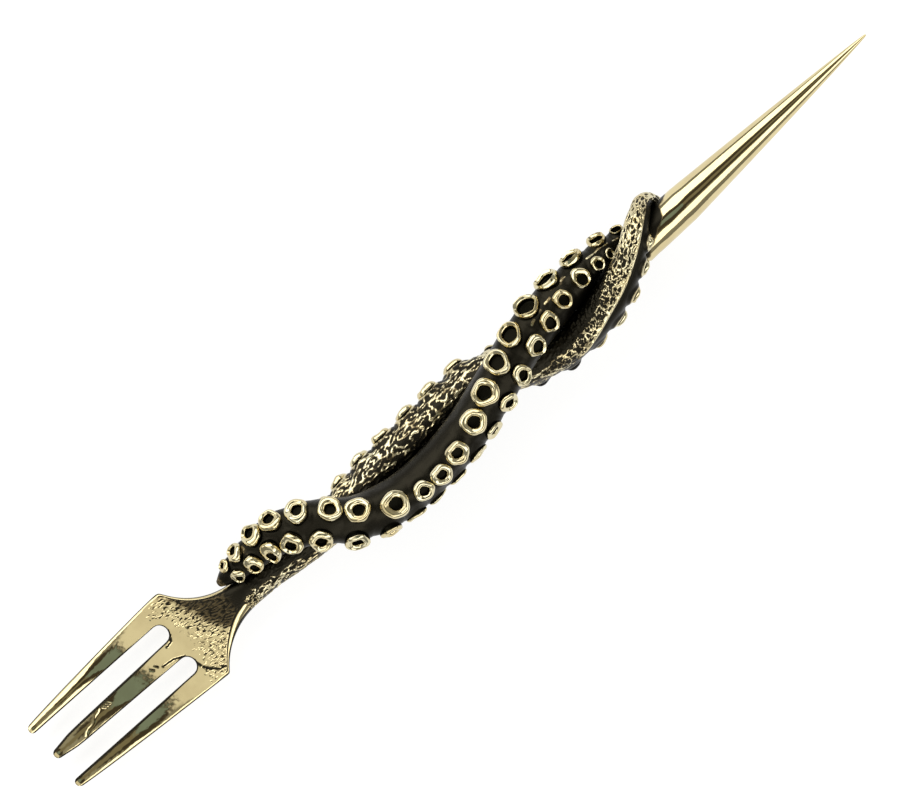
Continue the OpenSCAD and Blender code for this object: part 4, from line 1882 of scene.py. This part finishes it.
@dataclass(frozen=True)
class SkyPatch:
    """An oval patch of the room overhead, as the object's upper faces mirror it.

    Attributes:
        middle: X of the direction to its middle.
        reach: how far it reaches from there in the direction's X and Y.
        colour: colour of its light.
    """

    middle: float
    reach: Span
    colour: Colour

    def mask(self, sheet: NodeSheet, way: bpy.types.NodeOutputs) -> bpy.types.NodeSocket:
        """Draws the patch.

        Args:
            sheet: sheet of the world's nodes.
            way: sockets of the direction's X, Y and Z.

        Returns:
            Socket that is 1 inside the patch and 0 outside it.
        """
        along = sheet.math("DIVIDE", sheet.math("SUBTRACT", way["X"], self.middle), self.reach[0])
        across = sheet.math("DIVIDE", way["Y"], self.reach[1])
        away = sheet.math("ADD", sheet.math("MULTIPLY", along, along), sheet.math("MULTIPLY", across, across))
        above = sheet.spread(way["Z"], (0.0, 0.3), (0.0, 1.0))
        return sheet.math("MULTIPLY", sheet.spread(away, (0.75, 1.25), (1.0, 0.0)), above)


@dataclass(frozen=True)
class SoftLamp:
    """A rectangular lamp that faces the object.

    Attributes:
        name: name of the lamp.
        place: where it hangs, in metres.
        size: its length along the handle and its width, in metres.
        power: its power in watts.
        colour: colour of its light.
    """

    name: str
    place: Point
    size: Span
    power: float
    colour: Point

    def hang(self) -> None:
        """Makes the lamp and turns it to the object."""
        data = bpy.data.lights.new(self.name, "AREA")
        data.shape = "RECTANGLE"
        data.size, data.size_y = self.size
        data.energy = self.power
        data.color = self.colour
        obj = place_object(self.name, data)
        obj.location = self.place
        back = Vector(self.place).normalized()
        up = back.cross(Vector((1, 0, 0))).normalized()
        obj.rotation_euler = Matrix((up.cross(back), up, back)).transposed().to_euler()


@dataclass
class Studio:
    """Camera over the object, pale floor and soft light from both sides.

    Attributes:
        view_centre: point of the table under the middle of the picture, in metres.
        view_width: width of the picture on the object, in metres.
        view_height: height over the table at which that width holds, in metres.
        roll: degrees that the handle rises to the right in the picture.
        lens: focal length in millimetres.
        sight: how far the camera sees, in metres.
        floor_size: length of the floor's side, in metres.
        floor_colour: colour of the floor.
        floor_lift: light that the floor adds for the eye and in reflections, to be white.
        horizon: colour of the room at the height of the table.
        sky: colour of the room higher up.
        climb: Z of the direction where the horizon's colour starts to turn, and where the sky's is reached.
        patches: patches overhead, each laid over those before it.
        lamps: the lamps.
    """

    view_centre: Span = (-0.0016, 0.0012)
    view_width: float = 0.1409
    view_height: float = 0.0055
    roll: float = 41.68
    lens: float = 400.0
    sight: float = 20.0
    floor_size: float = 3.0
    floor_colour: Colour = (0.22, 0.22, 0.22, 1.0)
    floor_lift: float = 0.85
    horizon: Colour = (0.26, 0.26, 0.25, 1.0)
    sky: Colour = (0.36, 0.355, 0.32, 1.0)
    climb: Span = (0.1, 0.8)
    patches: tuple[SkyPatch, ...] = (
        SkyPatch(-0.45, (0.33, 0.4), (0.95, 0.93, 0.85, 1.0)),
        SkyPatch(0.06, (0.24, 0.43), (0.065, 0.055, 0.04, 1.0)),
        SkyPatch(0.25, (0.22, 0.13), (0.24, 0.22, 0.16, 1.0)),
        SkyPatch(-0.01, (0.14, 0.16), (0.24, 0.31, 0.3, 1.0)),
    )
    lamps: tuple[SoftLamp, ...] = (
        SoftLamp("key_lamp", (0.0, 0.383, 0.321), (1.0, 0.42), 3.0, (1.0, 0.99, 0.96)),
        SoftLamp("fill_lamp", (0.0, -0.346, 0.361), (1.0, 0.28), 1.8, (1.0, 0.99, 0.97)),
    )

    def camera(self) -> None:
        """Makes the camera, which looks straight down."""
        data = bpy.data.cameras.new("camera")
        data.lens = self.lens
        data.clip_end = self.sight
        obj = place_object("camera", data)
        away = self.view_width * self.lens / data.sensor_width
        obj.location = (*self.view_centre, self.view_height + away)
        obj.rotation_euler = (0.0, 0.0, math.radians(-self.roll))
        bpy.context.scene.camera = obj

    def floor(self) -> None:
        """Lays the floor and covers it with white paper."""
        bm = bmesh.new()
        bmesh.ops.create_grid(bm, x_segments=1, y_segments=1, size=self.floor_size / 2)
        mesh = bpy.data.meshes.new("floor")
        bm.to_mesh(mesh)
        bm.free()
        obj = place_object("floor", mesh)
        made = bpy.data.materials.new("floor_paper")
        sheet = NodeSheet.emptied(made)
        ray = sheet.add("ShaderNodeLightPath").outputs
        seen = sheet.math("MAXIMUM", ray["Is Camera Ray"], ray["Is Glossy Ray"])
        seen = sheet.math("MAXIMUM", seen, ray["Is Transmission Ray"])
        lift = sheet.add("ShaderNodeEmission", {"Strength": sheet.math("MULTIPLY", seen, self.floor_lift)})
        paper = sheet.add("ShaderNodeBsdfDiffuse", {"Color": self.floor_colour})
        both = sheet.add("ShaderNodeAddShader", {0: paper.outputs["BSDF"], 1: lift.outputs["Emission"]})
        sheet.add("ShaderNodeOutputMaterial", {"Surface": both.outputs["Shader"]})
        obj.data.materials.append(made)

    def world(self) -> None:
        """Makes the room: bright past the fork, and dark straight overhead where the photographer stands."""
        made = bpy.data.worlds.new("room")
        bpy.context.scene.world = made
        sheet = NodeSheet.emptied(made)
        direction = sheet.add("ShaderNodeTexCoord").outputs["Generated"]
        way = sheet.add("ShaderNodeSeparateXYZ", {0: direction}).outputs
        colour = sheet.mix(sheet.spread(way["Z"], self.climb, (0.0, 1.0)), self.horizon, self.sky)
        for patch in self.patches:
            colour = sheet.mix(patch.mask(sheet, way), colour, patch.colour)
        light = sheet.add("ShaderNodeBackground", {"Color": colour, "Strength": 1.0})
        sheet.add("ShaderNodeOutputWorld", {"Surface": light.outputs["Background"]})

    def build(self) -> None:
        """Sets up the whole studio."""
        self.camera()
        self.floor()
        self.world()
        for lamp in self.lamps:
            lamp.hang()
        bpy.context.scene.view_settings.view_transform = "Standard"


FRONT_ROUTE = Table((
    (-3, 3.1, 5.6), (3, 3.2, 7.9), (9, 2.75, 9.3), (14, 0.6, 10.8), (20, -3.6, 11), (27, -5.6, 10.2),
    (34, -5.8, 9.8), (42, -4.65, 10.6), (50, -2.4, 11.6), (58, -0.1, 11), (66, 1.15, 9.3), (74, 1.5, 7.1),
    (79, 1.4, 4.5), (83, 0.6, 2.9), (88, -2.3, 3.6),
))
REAR_ROUTE = Table((
    (0, -0.65, 4.3), (4, -0.65, 4.3), (10, -1.25, 4.3), (17, -1.4, 4.3), (28, -0.45, 5.3), (38, 0, 5.5),
    (47, 0.2, 4.7), (51, -0.9, 4.5), (55, -3.1, 4.6), (62, -5, 6), (69, -4.9, 8.5), (75, -3.4, 10.7),
    (80, -0.7, 12.2), (84, 2.3, 10.9), (86.5, 3.4, 7.4), (88.3, 1.3, 3.8),
))
FRONT_TURNS = Table((
    (-3, 5), (9, 5), (19, -22), (26, -54), (34, -67), (44, -38), (54, -6), (61, 10), (69, 31), (76, 25),
    (88, 0),
))
REAR_TURNS = Table((
    (0, 150), (18, 140), (36, 130), (44, 138), (51, 164), (58, 186), (66, 190), (71, 207), (75, 217),
    (79, 227), (82, 236), (88.3, 244),
))
FRONT_LEFT_CUPS = (
    (-0.1, 2.2, 10, 0.4), (2.5, 3, 5), (6.1, 3.6, 5), (9.4, 3.8), (13, 4.1), (16.6, 4.1), (20.2, 4.2),
    (25.4, 4.7), (30.3, 3.5), (34.3, 3.7), (38.6, 4), (44, 4.4), (48.4, 4.6), (52.6, 4.4), (56.8, 4.2),
    (61.4, 4.3), (66.5, 4.2), (71.4, 4), (76, 3.2), (79.4, 2.2, 0, 0.1),
)
FRONT_RIGHT_CUPS = (
    (0.6, 2.3, 5), (3.7, 3.1, 13), (7.1, 3.5, 12), (11.3, 3.8, 6), (15.3, 4), (19.3, 4, 0, 0.6),
    (23.6, 3.9, 0, 0.8, 0.8), (27.7, 3.7, 0, 0.9, 0.65), (31.5, 3.5, 0, 0.9, 0.6), (35.5, 3.5, 0, 0.9, 0.6),
    (40, 3.6, 0, 0.8, 0.6), (44.2, 3.6, 0, 0.6, 0.65), (48.8, 3.6, 0, 0.5, 0.8), (53, 3.6), (57.7, 3.6),
    (61.7, 3.4), (65.6, 3.2), (70, 3.3), (73.4, 2.4, 0, 0.6), (75.6, 1.8, 0, 0.3),
)
REAR_LEFT_SPAN = (4.1, 70.5)
REAR_RIGHT_SPAN = (4.4, 82.0)


def front_rows(front: FrontTentacle) -> list[SuckerRow]:
    """Rows of cups on the front tentacle, with hoods near the neck and wider holes near the pick.

    Args:
        front: the tentacle.

    Returns:
        The left row and the right row.
    """
    left_cups, right_cups = ([Cup(*row) for row in rows] for rows in (FRONT_LEFT_CUPS, FRONT_RIGHT_CUPS))
    left = SuckerRow(
        "front_left_suckers", Slot.SUCKER, front, Row.HIGH_ANGLE, left_cups, seed=11,
        holes=Ramp(((44, 0.41), (62, 0.63))), hoods=Ramp(((6, 0.2), (14, 0))),
    )
    right = SuckerRow(
        "front_right_suckers", Slot.SUCKER, front, Row.LOW_ANGLE, right_cups, seed=23,
        holes=Ramp(((44, 0.41), (62, 0.5))), hoods=Ramp(((6, 0.32), (14, 0), (50, 0), (58, 0.14))),
    )
    return [left, right]


def rear_rows(rear: RearTentacle) -> list[SuckerRow]:
    """Rows of cups on the rear tentacle.

    Args:
        rear: the tentacle.

    Returns:
        The left row and the right row.
    """
    left, right = rear.cups(*REAR_LEFT_SPAN), rear.cups(*REAR_RIGHT_SPAN)
    return [
        SuckerRow("rear_left_suckers", Slot.SUCKER, rear, Row.LOW_ANGLE, left, seed=37),
        SuckerRow("rear_right_suckers", Slot.SUCKER, rear, Row.HIGH_ANGLE, right, seed=41),
    ]


def main() -> None:
    """Builds the studio and every piece."""
    logging.basicConfig(level=logging.INFO, format="%(name)s: %(message)s")
    noise.seed_set(NET_SEED)
    Studio().build()
    front = FrontTentacle("front_tentacle", Slot.BLACKENED, route=FRONT_ROUTE, turns=FRONT_TURNS)
    rear = RearTentacle("rear_tentacle", Slot.BLACKENED, route=REAR_ROUTE, turns=REAR_TURNS)
    front.neighbour, rear.neighbour = rear, front
    front.rows, rear.rows = front_rows(front), rear_rows(rear)
    fork = ForkHead("fork_head", Slot.POLISHED)
    pick = Pick("pick", Slot.POLISHED, arms=(front, rear))
    for piece in (fork, pick, front, rear, *front.rows, *rear.rows):
        obj = piece.hand_over()
        log.info("%s: %d vertices, %d faces", obj.name, len(obj.data.vertices), len(obj.data.polygons))


if __name__ == "__main__":
    main()
